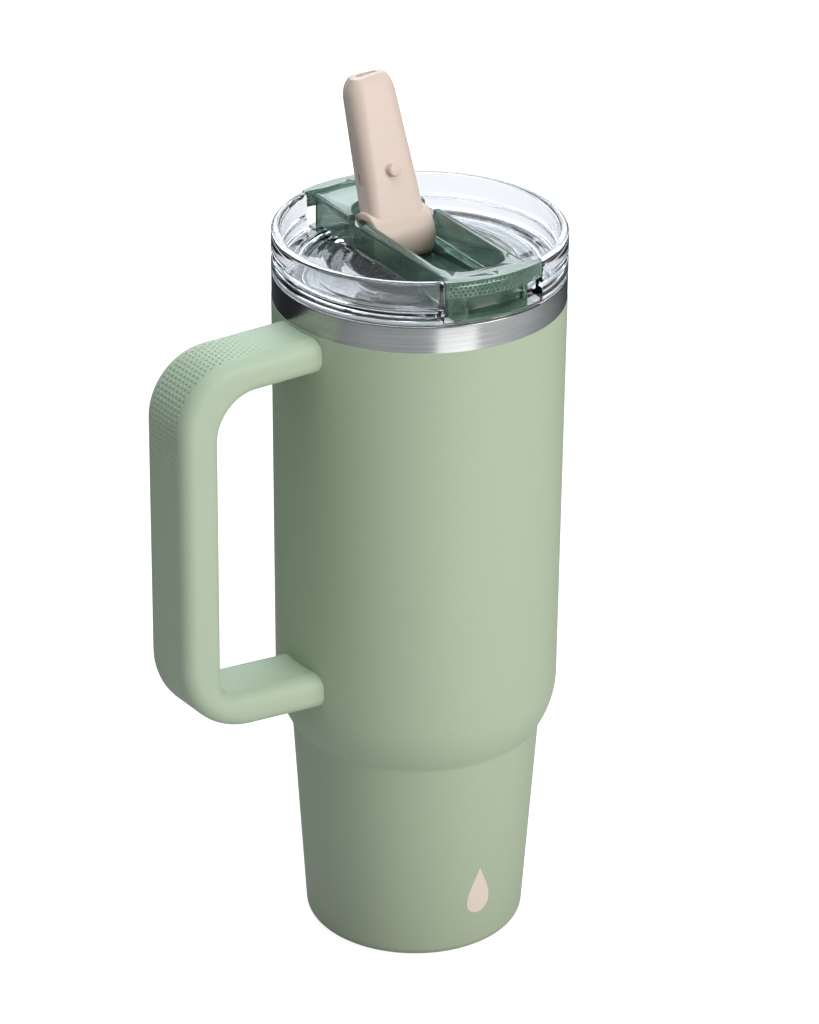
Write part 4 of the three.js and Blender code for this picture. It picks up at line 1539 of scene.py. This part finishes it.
@dataclass
class Bridge:
    """The tinted bridge across the lid, with its channel and its textured ends."""

    sizes: LidSizes
    half_w: float = 13.8
    sink: float = 1.0
    plate: float = 2.0
    skin: float = 1.5
    end_h: float = 5.1
    end_thick: float = 4.8
    lip: float = 0.7
    slot_w: float = 9.0
    near_floor: float = 223.9
    hub_floor: float = 221.7
    pocket_r: float = 8.6
    hub_play: float = 0.7
    top_edge: float = 0.9
    inner_edge: float = 0.95
    edge: float = 0.28
    side_reach: float = 38.6
    plate_thick: float = 0.6
    boss_r: float = 9.5
    boss_half: float = 3.2
    boss_y: float = -28.5
    web_x: float = 6.0
    web_y: tuple[float, float] = (-37.4, -36.5)
    spigot_r: float = 4.3
    port_r: float = 3.1
    seat_r: float = 6.5
    vent_r: float = 3.3
    spigot_z: Point = (212.5, 221.5)
    port_z: Point = (210.0, 230.0)
    seat_z: Point = (219.2, 227.2)
    vent_z: Point = (215.0, 230.0)
    pin_hole_r: float = 2.02
    pin_wall: float = 0.85
    dimple_d: float = 0.96
    dimple_pitch: float = 1.5
    dimple_depth: float = 0.46
    dimple_rows: int = 4
    row_pitch: float = 1.12
    first_row: float = 0.95
    bump_r: float = 1.1
    bump_h: float = 0.45
    bump_y: float = -12.0

    @property
    def top(self) -> float:
        """Height of the bridge's top."""
        return self.sizes.rim_z - self.sink

    def under_floor(self, drop: float) -> bpy.types.Object:
        """A tool that holds all that is below the sloping channel floor.

        Args:
            drop: how far under the floor it ends.

        Returns:
            The tool.
        """
        s = self.sizes
        slope = (self.near_floor - self.hub_floor) / (s.hub_y - s.plan.near_y)
        reach, half, low = 50, 20, 190
        back_z = self.hub_floor + slope * (s.hub_y - reach) - drop
        front_z = self.hub_floor + slope * (s.hub_y + reach) - drop
        side = [
            (-half, -reach, low),
            (-half, reach, low),
            (-half, reach, back_z),
            (-half, -reach, front_z),
        ]
        return slab("under_floor", side, (2 * half, 0, 0))

    def sides(self) -> list[bpy.types.Object]:
        """The side walls, each with a leg at either end that stands in the ring's window.

        Returns:
            The walls and their legs.
        """
        s, w = self.sizes, self.half_w
        made = []
        for side in (1, -1):
            x = sorted((side * (w - self.skin), side * w))
            low = (x[0], -self.side_reach, s.floor_z + 1)
            made.append(block("side", low, (x[1], self.side_reach, self.top - 1)))
            for end in (1, -1):
                y = sorted((end * (s.window_y + 0.35), end * (self.side_reach - SLIP)))
                low = (x[0] + 0.02, y[0], s.foot_plate_z + 0.15)
                high = (x[1] - 0.02, y[1], s.floor_z + 2)
                made.append(block("leg", low, high))
        return made

    def ends(self) -> list[bpy.types.Object]:
        """The end walls, and the thin plates that stand in the ring's windows.

        Returns:
            The walls and the plates.
        """
        s, w = self.sizes, self.half_w - SLIP
        past, foot = 46, s.foot_plate_z + 0.1
        made = []
        for end in (1, -1):
            y = sorted((end * (s.lid_r - self.end_thick), end * past))
            low = (-s.end_half_w, y[0], s.rim_z - self.end_h)
            made.append(block("end", low, (s.end_half_w, y[1], s.rim_z)))
            y = sorted((end * (s.window_y + 0.3), end * past))
            made.append(block("foot", (-w, y[0], foot), (w, y[1], foot + self.plate_thick)))
        return made

    def boss(self) -> list[bpy.types.Object]:
        """The round end of the channel's wall in the near window, with a web on each side.

        Returns:
            The boss and its webs.
        """
        s, half, y, r = self.sizes, self.boss_half, self.boss_y, self.boss_r
        low, high = s.foot_plate_z + 0.4, self.top - 1
        plan = [*arc(-half, y, r, 180, 270, 10), *arc(half, y, r, 270, 360, 10)]
        made = [slab("boss", [(px, py, low) for px, py in plan], (0, 0, high - low))]
        for side in (1, -1):
            x = sorted((side * self.web_x, side * (self.half_w - 0.1)))
            start = (x[0], self.web_y[0], s.foot_plate_z + 0.2)
            made.append(block("web", start, (x[1], self.web_y[1], self.top - 1.2)))
        return made

    def frame(self) -> bpy.types.Object:
        """Top plate, side walls, end walls and feet, joined and trimmed to the lid's round.

        Returns:
            The solid, before anything is cut out.
        """
        s, w = self.sizes, self.half_w
        deck = block("tinted_bridge", (-w, -45, self.top - self.plate), (w, 45, self.top))

        def on_top(a: Vector, b: Vector) -> bool:
            """Whether an edge is one of the two long ones of the top."""
            along = abs(abs(a.x) - w) < NEAR and abs(b.x - a.x) < NEAR
            return along and min(a.z, b.z) > self.top - NEAR

        bevel_edges(deck, on_top, self.top_edge, 2)
        well = s.plan.room("well", self.skin, 219, self.top - 1)
        carved(well, self.under_floor(self.skin))
        carved(deck, *self.sides(), *self.ends(), *self.boss(), well, how="UNION")
        carved(deck, rod("lid_round", s.lid_r, (0, 0, 190), 80, Axis.Z, 240), how="INTERSECT")
        return deck

    def upright(self, name: str, radius: float, y: float, span: Point) -> bpy.types.Object:
        """An upright cylinder on the bridge's middle line, between two heights."""
        return rod(name, radius, (0, y, span[0]), span[1] - span[0], Axis.Z, 40)

    def hollows(self, deck: bpy.types.Object) -> None:
        """Cuts the step inside the end walls, the channel, the hub's pocket, slots and holes.

        Args:
            deck: the solid that is cut.
        """
        s = self.sizes
        step = rod("inner_face", s.wall_r - 1, (0, 0, self.top), 8, Axis.Z, 240)

        def at_foot(a: Vector, b: Vector) -> bool:
            """Whether an edge is round the tool's lower end."""
            return max(a.z, b.z) < self.top + NEAR

        bevel_edges(step, at_foot, self.inner_edge, 5)
        channel = s.plan.flared_room("channel", 215, self.top, self.lip)
        carved(channel, self.under_floor(0))
        half = s.hub_half + self.hub_play
        wide = half + self.skin
        hub = (s.hub_y, s.hub_z)
        cup = rod("hub_cup", self.pocket_r + self.skin, (-wide, *hub), 2 * wide, Axis.X)
        carved(cup, self.under_floor(0), how="INTERSECT")
        spigot = self.upright("spigot", self.spigot_r, s.hub_y, self.spigot_z)
        carved(deck, cup, spigot, how="UNION")
        pocket = rod("pocket", self.pocket_r, (-half, *hub), 2 * half, Axis.X)
        low = (-20, s.hub_y - self.slot_w / 2, self.top - self.plate)
        slot = block("slot", low, (20, s.hub_y + self.slot_w / 2, 245))
        inside = self.half_w - self.pin_wall
        pins = rod("pin_holes", self.pin_hole_r, (-inside, *hub), 2 * inside, Axis.X, 30)
        port = self.upright("port", self.port_r, s.hub_y, self.port_z)
        seat = self.upright("seat", self.seat_r, s.hub_y, self.seat_z)
        vent = self.upright("vent", self.vent_r, s.hub_y - s.vent_ahead, self.vent_z)
        carved(deck, step, channel, pocket, slot, pins, port, seat, vent)

    def end_spots(self) -> list[tuple[Vector, Vector, float]]:
        """Rows of dimples on the outside of both end walls.

        Returns:
            Place, outward direction and diameter of each dimple.
        """
        s = self.sizes
        reach = math.asin((s.end_half_w - 0.9) / s.lid_r)
        step = self.dimple_pitch / s.lid_r
        found = []
        for end in (-math.pi / 2, math.pi / 2):
            for row in range(self.dimple_rows):
                shift = step / 2 * (row % 2)
                z = s.rim_z - self.first_row - row * self.row_pitch
                most = math.ceil(reach / step)
                for k in range(-most - 1, most + 1):
                    a = k * step + shift
                    if abs(a) < reach:
                        out = Vector((math.cos(end + a), math.sin(end + a), 0))
                        found.append((out * s.lid_r + Vector((0, 0, z)), out, self.dimple_d))
        return found

    def bumps(self) -> list[bpy.types.Object]:
        """The small snap bumps on the channel's sides that hold the folded spout.

        Returns:
            The two bumps.
        """
        s = self.sizes
        start = (s.plan.half_w - self.bump_h, self.bump_y, s.hub_z + 1.2)
        first = rod("snap_bump", self.bump_r, start, 2 * self.bump_h, Axis.X, 24)
        softened(first, 0.35, 3)
        return [first, twin(first, "snap_bump_2", (-2 * s.plan.half_w, 0, 0))]

    def build(self, palette: Palette) -> None:
        """Builds and dresses the bridge.

        Args:
            palette: the finishes.
        """
        deck = self.frame()
        self.hollows(deck)
        carved(deck, *self.bumps(), how="UNION")
        softened(deck, self.edge, 2, 48)
        dimpled(deck, self.end_spots(), self.dimple_depth)
        turned_about_z(deck, LID_TURN)
        shown(shaded(deck, 30), palette.tinted, Rides.LID, Slot.TINTED, "lid_bridge")


@dataclass
class Seals:
    """Seals, vent grommet, straw and pins."""

    sizes: LidSizes
    gasket_r: tuple[float, float] = (40.8, 43.6)
    skirt_ring_r: tuple[float, float] = (38.4, 40.2)
    vent_r: tuple[float, float] = (2.2, 3.0)
    straw_r: tuple[float, float] = (3.4, 4.2)
    sleeve_r: tuple[float, float] = (4.6, 6.0)
    pin_r: float = 1.7
    pin_x: tuple[float, float] = (5.6, 12.7)

    def ring(
        self, name: str, radii: tuple[float, float], low: float, high: float, edge: float
    ) -> bpy.types.Object:
        """A ring with softened corners, round the lid's axis.

        Args:
            name: name of the ring.
            radii: its inner and outer radius.
            low: its lower height.
            high: its upper height.
            edge: reach of the round at each corner.

        Returns:
            The ring.
        """
        inner, outer = radii
        corners = [(inner, low), (outer, low), (outer, high), (inner, high)]
        profile: list[Point] = []
        for k, corner in enumerate(corners):
            profile += eased(corners[k - 1], corner, corners[(k + 1) % 4], edge, 4)
        return spun(name, profile, True, 96)

    def moved(self, piece: bpy.types.Object, y: float) -> bpy.types.Object:
        """Moves a piece along the bridge and turns it with the lid.

        Args:
            piece: the piece.
            y: how far it is moved.

        Returns:
            The same piece.
        """
        focus(piece)
        piece.location.y += y * MM
        return turned_about_z(placed(piece), LID_TURN)

    def build(self, palette: Palette) -> None:
        """Builds and dresses the seals, the straw and the pins.

        Args:
            palette: the finishes.
        """
        s = self.sizes
        gasket = self.ring("mouth_seal", self.gasket_r, s.lip_z + 0.3, s.lip_z + 1.2, 0.3)
        shown(shaded(gasket), palette.silicone, Rides.GASKET, Slot.SILICONE, "mouth_gasket")
        skirt = self.ring("skirt_ring", self.skirt_ring_r, s.lip_z - 3.9, s.lip_z - 1.9, 0.8)
        shown(shaded(skirt), palette.silicone, Rides.SEAL_RING, Slot.SILICONE, "skirt_seal")
        hub = copied_node("hub_gasket", "hub_seal")
        shown(hub, palette.silicone, Rides.LID, Slot.SILICONE, "hub_seal")
        low, high = (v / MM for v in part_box("vent_grommet"))
        vent = self.ring("vent_ring", self.vent_r, low.z, high.z, 0.25)
        self.moved(vent, s.hub_y - s.vent_ahead)
        shown(shaded(vent), palette.silicone, Rides.LID, Slot.SILICONE, "vent_grommet")
        low, high = (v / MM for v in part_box("straw"))
        straw = self.moved(self.ring("straw_tube", self.straw_r, low.z, high.z, 0.25), s.hub_y)
        shown(shaded(straw), palette.straw, Rides.LID, Slot.CLEAR, "straw")
        low, high = (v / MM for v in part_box("straw_connector"))
        sleeve = self.moved(self.ring("straw_sleeve", self.sleeve_r, low.z, high.z, 0.4), s.hub_y)
        shown(shaded(sleeve), palette.silicone, Rides.LID, Slot.SILICONE, "straw_connector")
        inner, outer = self.pin_x
        start = (-outer, s.hub_y, s.hub_z)
        left = rod("hinge_pin_left", self.pin_r, start, outer - inner, Axis.X, 36)
        shaded(softened(left, 0.3))
        right = twin(left, "hinge_pin_right", (inner + outer, 0, 0))
        for pin, node in ((left, "pivot_pin_left"), (right, "pivot_pin_right")):
            turned_about_z(pin, LID_TURN)
            shown(pin, palette.steel, Rides.LID, Slot.STEEL, node)


@dataclass
class Spout:
    """The flip-up spout: stem, hub, stop block and the vent plug."""

    sizes: LidSizes
    lean: float = 20.0
    reach: float = 49.4
    root: tuple[float, float, float] = (9.4, 6.6, 5.8)
    tip: tuple[float, float, float] = (7.9, 4.4, 5.8)
    tip_round: float = 6.8
    tip_share: float = 0.5
    side_round: tuple[float, float] = (2.6, 4.6)
    hub_recess_r: float = 6.0
    hub_recess: float = 1.6
    nub_reach: float = 19.2
    nub_r: float = 1.9
    nub_h: float = 1.7
    bore_r: float = 2.0
    hub_edge: float = 0.7
    heel_half_w: float = 5.3
    heel_out: float = 10.0
    heel_top: float = 5.2
    heel_round: float = 1.6
    mouth_half: float = 2.4
    mouth_r: float = 1.15
    mouth_y: float = 0.3
    mouth_deep: float = 9.0
    tip_cut: float = 0.3
    tip_slope: Point = (0.1, 0.22)
    slot_y: float = -0.3
    slot_z: Point = (16.8, 19.4)
    slot_r: float = 0.6
    slot_out: float = 10.5
    slot_deep: float = 2.9
    edge: float = 0.3

    def section(self, z: float, shrink: float) -> list[Sequence[float]]:
        """The stem's rounded section at a height along it.

        Args:
            z: distance from the hub's axis.
            shrink: factor on the section.

        Returns:
            Its corners, in millimetres.
        """
        t = z / self.reach
        half, front, back = ((a + (b - a) * t) * shrink for a, b in zip(self.root, self.tip))
        first, last = self.side_round
        soft = min(first + (last - first) * t, front * 0.94) * min(shrink * 1.05, 1)
        full = min(back, half) * 0.82
        plan = [
            *arc(half - full, back - full, full, 0, 90, 7),
            *arc(-half + full, back - full, full, 90, 180, 7),
            *arc(-half + soft, -front + soft, soft, 180, 270, 7),
            *arc(half - soft, -front + soft, soft, 270, 360, 7),
        ]
        return [(x, y, z) for x, y in plan]

    def stem(self) -> bpy.types.Object:
        """The stem, lofted between sections and closed in a dome at the tip.

        Returns:
            The stem, upright over its hub.
        """
        straight = self.reach - self.tip_round
        levels = [(0.0, 1.0), (straight * 0.35, 1.0), (straight * 0.7, 1.0)]
        for k in range(13):
            up = math.sin(math.pi / 2 * k / 12)
            inwards = math.sqrt(max(0.0, 1 - up * up))
            shrink = self.tip_share + (1 - self.tip_share) * inwards
            levels.append((straight + up * self.tip_round, shrink))
        rings = [self.section(z, shrink) for z, shrink in levels]
        parts = [loop_wire(f"stem_ring_{k}", ring) for k, ring in enumerate(rings)]
        settle()
        for part in parts:
            part.select_set(True)
        bpy.context.view_layer.objects.active = parts[0]
        bpy.ops.object.join()
        stem = bpy.context.object
        stem.name = stem.data.name = "spout_stem"
        heights = [z for z, _ in levels]
        for below, above in pairwise(heights):
            pick_edges(stem, self.at_level(below, above))
            bpy.ops.mesh.bridge_edge_loops()
        for height in (heights[0], heights[-1]):
            pick_edges(stem, self.at_level(height))
            bpy.ops.mesh.edge_face_add()
        settle()
        heal(stem)
        return stem

    def at_level(self, *heights: float) -> Callable[[Vector, Vector], bool]:
        """A test for edges that lie level at one of some heights along the stem.

        Args:
            *heights: the heights.

        Returns:
            The test, on the two ends of an edge.
        """

        def test(a: Vector, b: Vector) -> bool:
            """Whether an edge is level and at one of the heights."""
            return abs(a.z - b.z) < NEAR / 10 and min(abs(a.z - z) for z in heights) < NEAR / 10

        return test

    def place(self, piece: bpy.types.Object) -> bpy.types.Object:
        """Leans a piece back, and takes it to the hub and round with the lid.

        Args:
            piece: the piece.

        Returns:
            The same piece.
        """
        s = self.sizes
        focus(piece)
        at = Matrix.Translation(Vector((0, s.hub_y, s.hub_z)) * MM)
        lean = Matrix.Rotation(-math.radians(self.lean), 4, "X")
        piece.matrix_world = Matrix.Rotation(LID_TURN, 4, "Z") @ at @ lean
        return placed(piece)

    def body(self, look: bpy.types.Material) -> None:
        """Stem, hub and stop block in one, with mouth, side slots and the hub's recesses.

        Args:
            look: its material.
        """
        s = self.sizes
        stem = self.stem()
        stem.name = stem.data.name = "blush_spout"
        wide = s.hub_half + 1
        hub = rod("hub", s.hub_r, (-s.hub_half, 0, 0), 2 * s.hub_half, Axis.X, 96)
        low, high = (-self.heel_half_w, 0, -1), (self.heel_half_w, self.heel_out, self.heel_top)
        heel = softened(block("heel", low, high), self.heel_round, 4)
        carved(stem, softened(hub, self.hub_edge, 3), heel, how="UNION")
        depth = self.hub_recess + 1
        left = rod("recess", self.hub_recess_r, (-wide, 0, 0), depth, Axis.X)
        right = twin(left, "recess_2", (2 * wide - depth, 0, 0))
        bore = rod("pin_bore", self.bore_r, (-wide, 0, 0), 2 * wide, Axis.X, 36)
        tilt_x, tilt_y = self.tip_slope
        wide_x, wide_y = 9, 8
        corners = [(-wide_x, -wide_y), (wide_x, -wide_y), (wide_x, wide_y), (-wide_x, wide_y)]
        cut_z = self.reach - self.tip_cut
        over = [(x, y, cut_z + tilt_x * x + tilt_y * y) for x, y in corners]
        tilt = slab("tip_tilt", over, (0, 0, 6))
        ends = ((self.mouth_half, -90), (-self.mouth_half, 90))
        oval = [p for x, a in ends for p in arc(x, self.mouth_y, self.mouth_r, a, a + 180, 8)]
        deep = self.reach - self.mouth_deep
        mouth = slab("mouth", [(x, y, deep) for x, y in oval], (0, 0, self.mouth_deep + 3))
        slots = []
        slot_low, slot_high = self.slot_z
        plan = [
            *arc(self.slot_y, slot_high, self.slot_r, 0, 180, 6),
            *arc(self.slot_y, slot_low, self.slot_r, 180, 360, 6),
        ]
        for side in (-1, 1):
            start = [(side * self.slot_out, y, z) for y, z in plan]
            slots.append(slab("side_slot", start, (-side * self.slot_deep, 0, 0)))
        carved(stem, left, right, bore, tilt, mouth, *slots)
        softened(stem, self.edge, 3, 40)
        shown(shaded(self.place(stem), 34), look, Rides.SPOUT, Slot.BLUSH, "straw_spout")

    def nub(self, look: bpy.types.Material) -> None:
        """The little vent plug on the front face.

        Args:
            look: its material.
        """
        front = self.root[1] + (self.tip[1] - self.root[1]) * self.nub_reach / self.reach
        start = (0, -front - self.nub_h - 0.3, self.nub_reach)
        plug = rod("vent_nub", self.nub_r, start, self.nub_h + 0.9, Axis.Y, 40)
        softened(plug, 0.45, 3)
        shown(shaded(self.place(plug)), look, Rides.SPOUT, Slot.BLUSH, "vent_plug")

    def build(self, palette: Palette) -> None:
        """Builds and dresses the spout."""
        self.body(palette.blush)
        self.nub(palette.blush)


# ------------------------------------------------------------------ studio


@dataclass(frozen=True)
class Softbox:
    """A square light that faces a point of the tumbler, with its place and size in metres."""

    name: str
    place: tuple[float, float, float]
    aim: tuple[float, float, float]
    size: tuple[float, float]
    watts: float
    colour: Colour = (1.0, 1.0, 1.0)

    def put(self) -> None:
        """Adds the light."""
        data = bpy.data.lights.new(self.name, "AREA")
        data.shape, data.energy, data.color = "RECTANGLE", self.watts, self.colour
        data.size, data.size_y = self.size
        light = bpy.data.objects.new(self.name, data)
        bpy.context.scene.collection.objects.link(light)
        light.location = self.place
        light.rotation_mode = "QUATERNION"
        light.rotation_quaternion = (Vector(self.aim) - Vector(self.place)).to_track_quat("-Z", "Y")
        light.visible_camera = False


@dataclass
class Studio:
    """Camera, floor and soft lights, with places and sizes in metres."""

    lens: float = 153.93
    eye: tuple[float, float, float] = (-0.716476, -0.986145, 0.742759)
    forward: tuple[float, float, float] = (0.525543, 0.726409, -0.442872)
    roll: float = 0.0085
    front: tuple[float, float, float] = (-0.2, -0.98, 0.0)
    # Painted shade on the floor: where it starts and ends, and its tone from behind the tumbler to
    # in front.
    painted_shade_from: Point = (-0.35, 0.3)
    floor_painted_shade: Point = (0.02, 0.76)
    floor_seen: float = 0.32
    floor_glow: float = 0.86
    # Painted light: a floor disc of this radius under the foot glows at this strength for every
    # ray, to light the base.
    foot_r: float = 0.033
    painted_glow_under_foot: float = 0.4
    through: float = 0.84
    sky_colour: Colour = (0.93, 0.96, 1.0)
    sky_level: Point = (0.25, 1.0)
    boxes: tuple[Softbox, ...] = (
        Softbox("key", (0.42, -1.3, 0.72), (0, 0, 0.11), (0.85, 1.1), 14.4, (1.0, 0.985, 0.96)),
        Softbox("fill", (-1.2, 0.5, 1.0), (0, 0, 0.15), (0.35, 1.1), 1.2, (0.88, 0.96, 1.0)),
        Softbox("overhead", (-0.1, 0.1, 1.5), (0, 0, 0.1), (1.0, 1.0), 10.2, (0.84, 0.98, 1.0)),
        Softbox("backlight", (0.85, 1.25, 1.05), (0, 0, 0.2), (1.7, 0.9), 16.0, (0.88, 0.95, 1.0)),
        Softbox("low_card", (-0.05, -0.36, 0.05), (0, 0, 0.21), (0.2, 0.12), 0.13),
    )

    def camera(self) -> None:
        """Adds the camera."""
        data = bpy.data.cameras.new("camera")
        data.lens, data.sensor_width = self.lens, 36
        data.clip_start, data.clip_end = 0.05, 50
        camera = bpy.data.objects.new("camera", data)
        bpy.context.scene.collection.objects.link(camera)
        camera.location = self.eye
        camera.rotation_mode = "QUATERNION"
        look = Vector(self.forward).to_track_quat("-Z", "Y").to_matrix().to_4x4()
        camera.rotation_quaternion = (look @ Matrix.Rotation(self.roll, 4, "Z")).to_quaternion()
        bpy.context.scene.camera = camera

    def floor(self) -> None:
        """Adds the floor: pale to the camera, with painted shade behind the tumbler and a painted
        glow under its foot.
        """
        settle()
        bpy.ops.mesh.primitive_plane_add(size=12, location=(0, 0, -0.0002))
        sweep = bpy.context.object
        sweep.name = "studio_floor"
        board = Skin("floor_with_painted_light")
        board.fixed(Roughness=0.6, Specular_IOR_Level=0.2, Emission_Strength=1.0)
        seen = self.seen(board)
        place = board.put("ShaderNodeTexCoord").outputs["Object"]
        # Painted shade: the floor's tone runs from near black behind the tumbler to pale in front.
        # Every ray but the camera's sees this, so the steel and the body reflect dark behind.
        facing = board.put("ShaderNodeVectorMath", operation="DOT_PRODUCT")
        facing.inputs[1].default_value = self.front
        board.join(place, facing.inputs[0])
        near, far = self.painted_shade_from
        dark, pale = self.floor_painted_shade
        reach = board.put(
            "ShaderNodeMapRange", From_Min=near, From_Max=far, To_Min=dark, To_Max=pale
        )
        board.join(facing.outputs["Value"], reach.inputs["Value"])
        lit = board.maths("MULTIPLY", seen, self.floor_seen)
        shade = board.maths("MAXIMUM", lit, reach.outputs["Result"])
        board.tint(shade, BLACK, WHITE)
        # Painted light: the floor under the foot glows for every ray and lights the base from
        # below.
        away = board.put("ShaderNodeVectorMath", operation="LENGTH")
        board.join(place, away.inputs[0])
        under = board.maths("LESS_THAN", away.outputs["Value"], self.foot_r)
        bright = board.maths("MAXIMUM", seen, board.maths("MULTIPLY", under, self.painted_glow_under_foot))
        board.tint(bright, BLACK, (self.floor_glow,) * 3, "Emission Color")
        underside = board.put("ShaderNodeNewGeometry")
        open_below = board.put("ShaderNodeMapRange", To_Min=1.0, To_Max=0.0)
        board.join(underside.outputs["Backfacing"], open_below.inputs["Value"])
        board.join(open_below.outputs["Result"], board.shader.inputs["Alpha"])
        sweep.data.materials.append(board.material)

    def seen(self, board: Board) -> bpy.types.NodeSocket:
        """How bright the surround is to a ray: full to the camera, less through clear plastic.

        Args:
            board: the node tree that it is worked out in.

        Returns:
            The brightness, from 0 to 1.
        """
        path = board.put("ShaderNodeLightPath")
        through = board.maths("MULTIPLY", path.outputs["Is Transmission Ray"], self.through)
        return board.maths("MAXIMUM", through, path.outputs["Is Camera Ray"])

    def sky(self) -> None:
        """Sets an even, pale surround."""
        world = bpy.data.worlds.new("surround")
        world.use_nodes = True
        board = Board(world.node_tree)
        shade = next(n for n in board.nodes if n.type == "BACKGROUND")
        shade.inputs["Color"].default_value = (*self.sky_colour, 1)
        dim, full = self.sky_level
        level = board.put("ShaderNodeMapRange", To_Min=dim, To_Max=full)
        board.join(self.seen(board), level.inputs["Value"])
        board.join(level.outputs["Result"], shade.inputs["Strength"])
        bpy.context.scene.world = world

    def build(self) -> None:
        """Sets up the whole studio."""
        self.camera()
        self.floor()
        self.sky()
        for box in self.boxes:
            box.put()
        bpy.context.scene.view_settings.view_transform = "Standard"


def main() -> None:
    """Builds the tumbler and its studio."""
    logging.basicConfig(level=logging.INFO, format="%(name)s %(message)s")
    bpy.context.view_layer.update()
    palette = Palette()
    sizes = LidSizes()
    Cup().build(palette)
    Handle().build(palette)
    ClearLid(sizes).build(palette)
    Bridge(sizes).build(palette)
    Seals(sizes).build(palette)
    Spout(sizes).build(palette)
    Studio().build()
    settle()


if __name__ == "__main__":
    main()
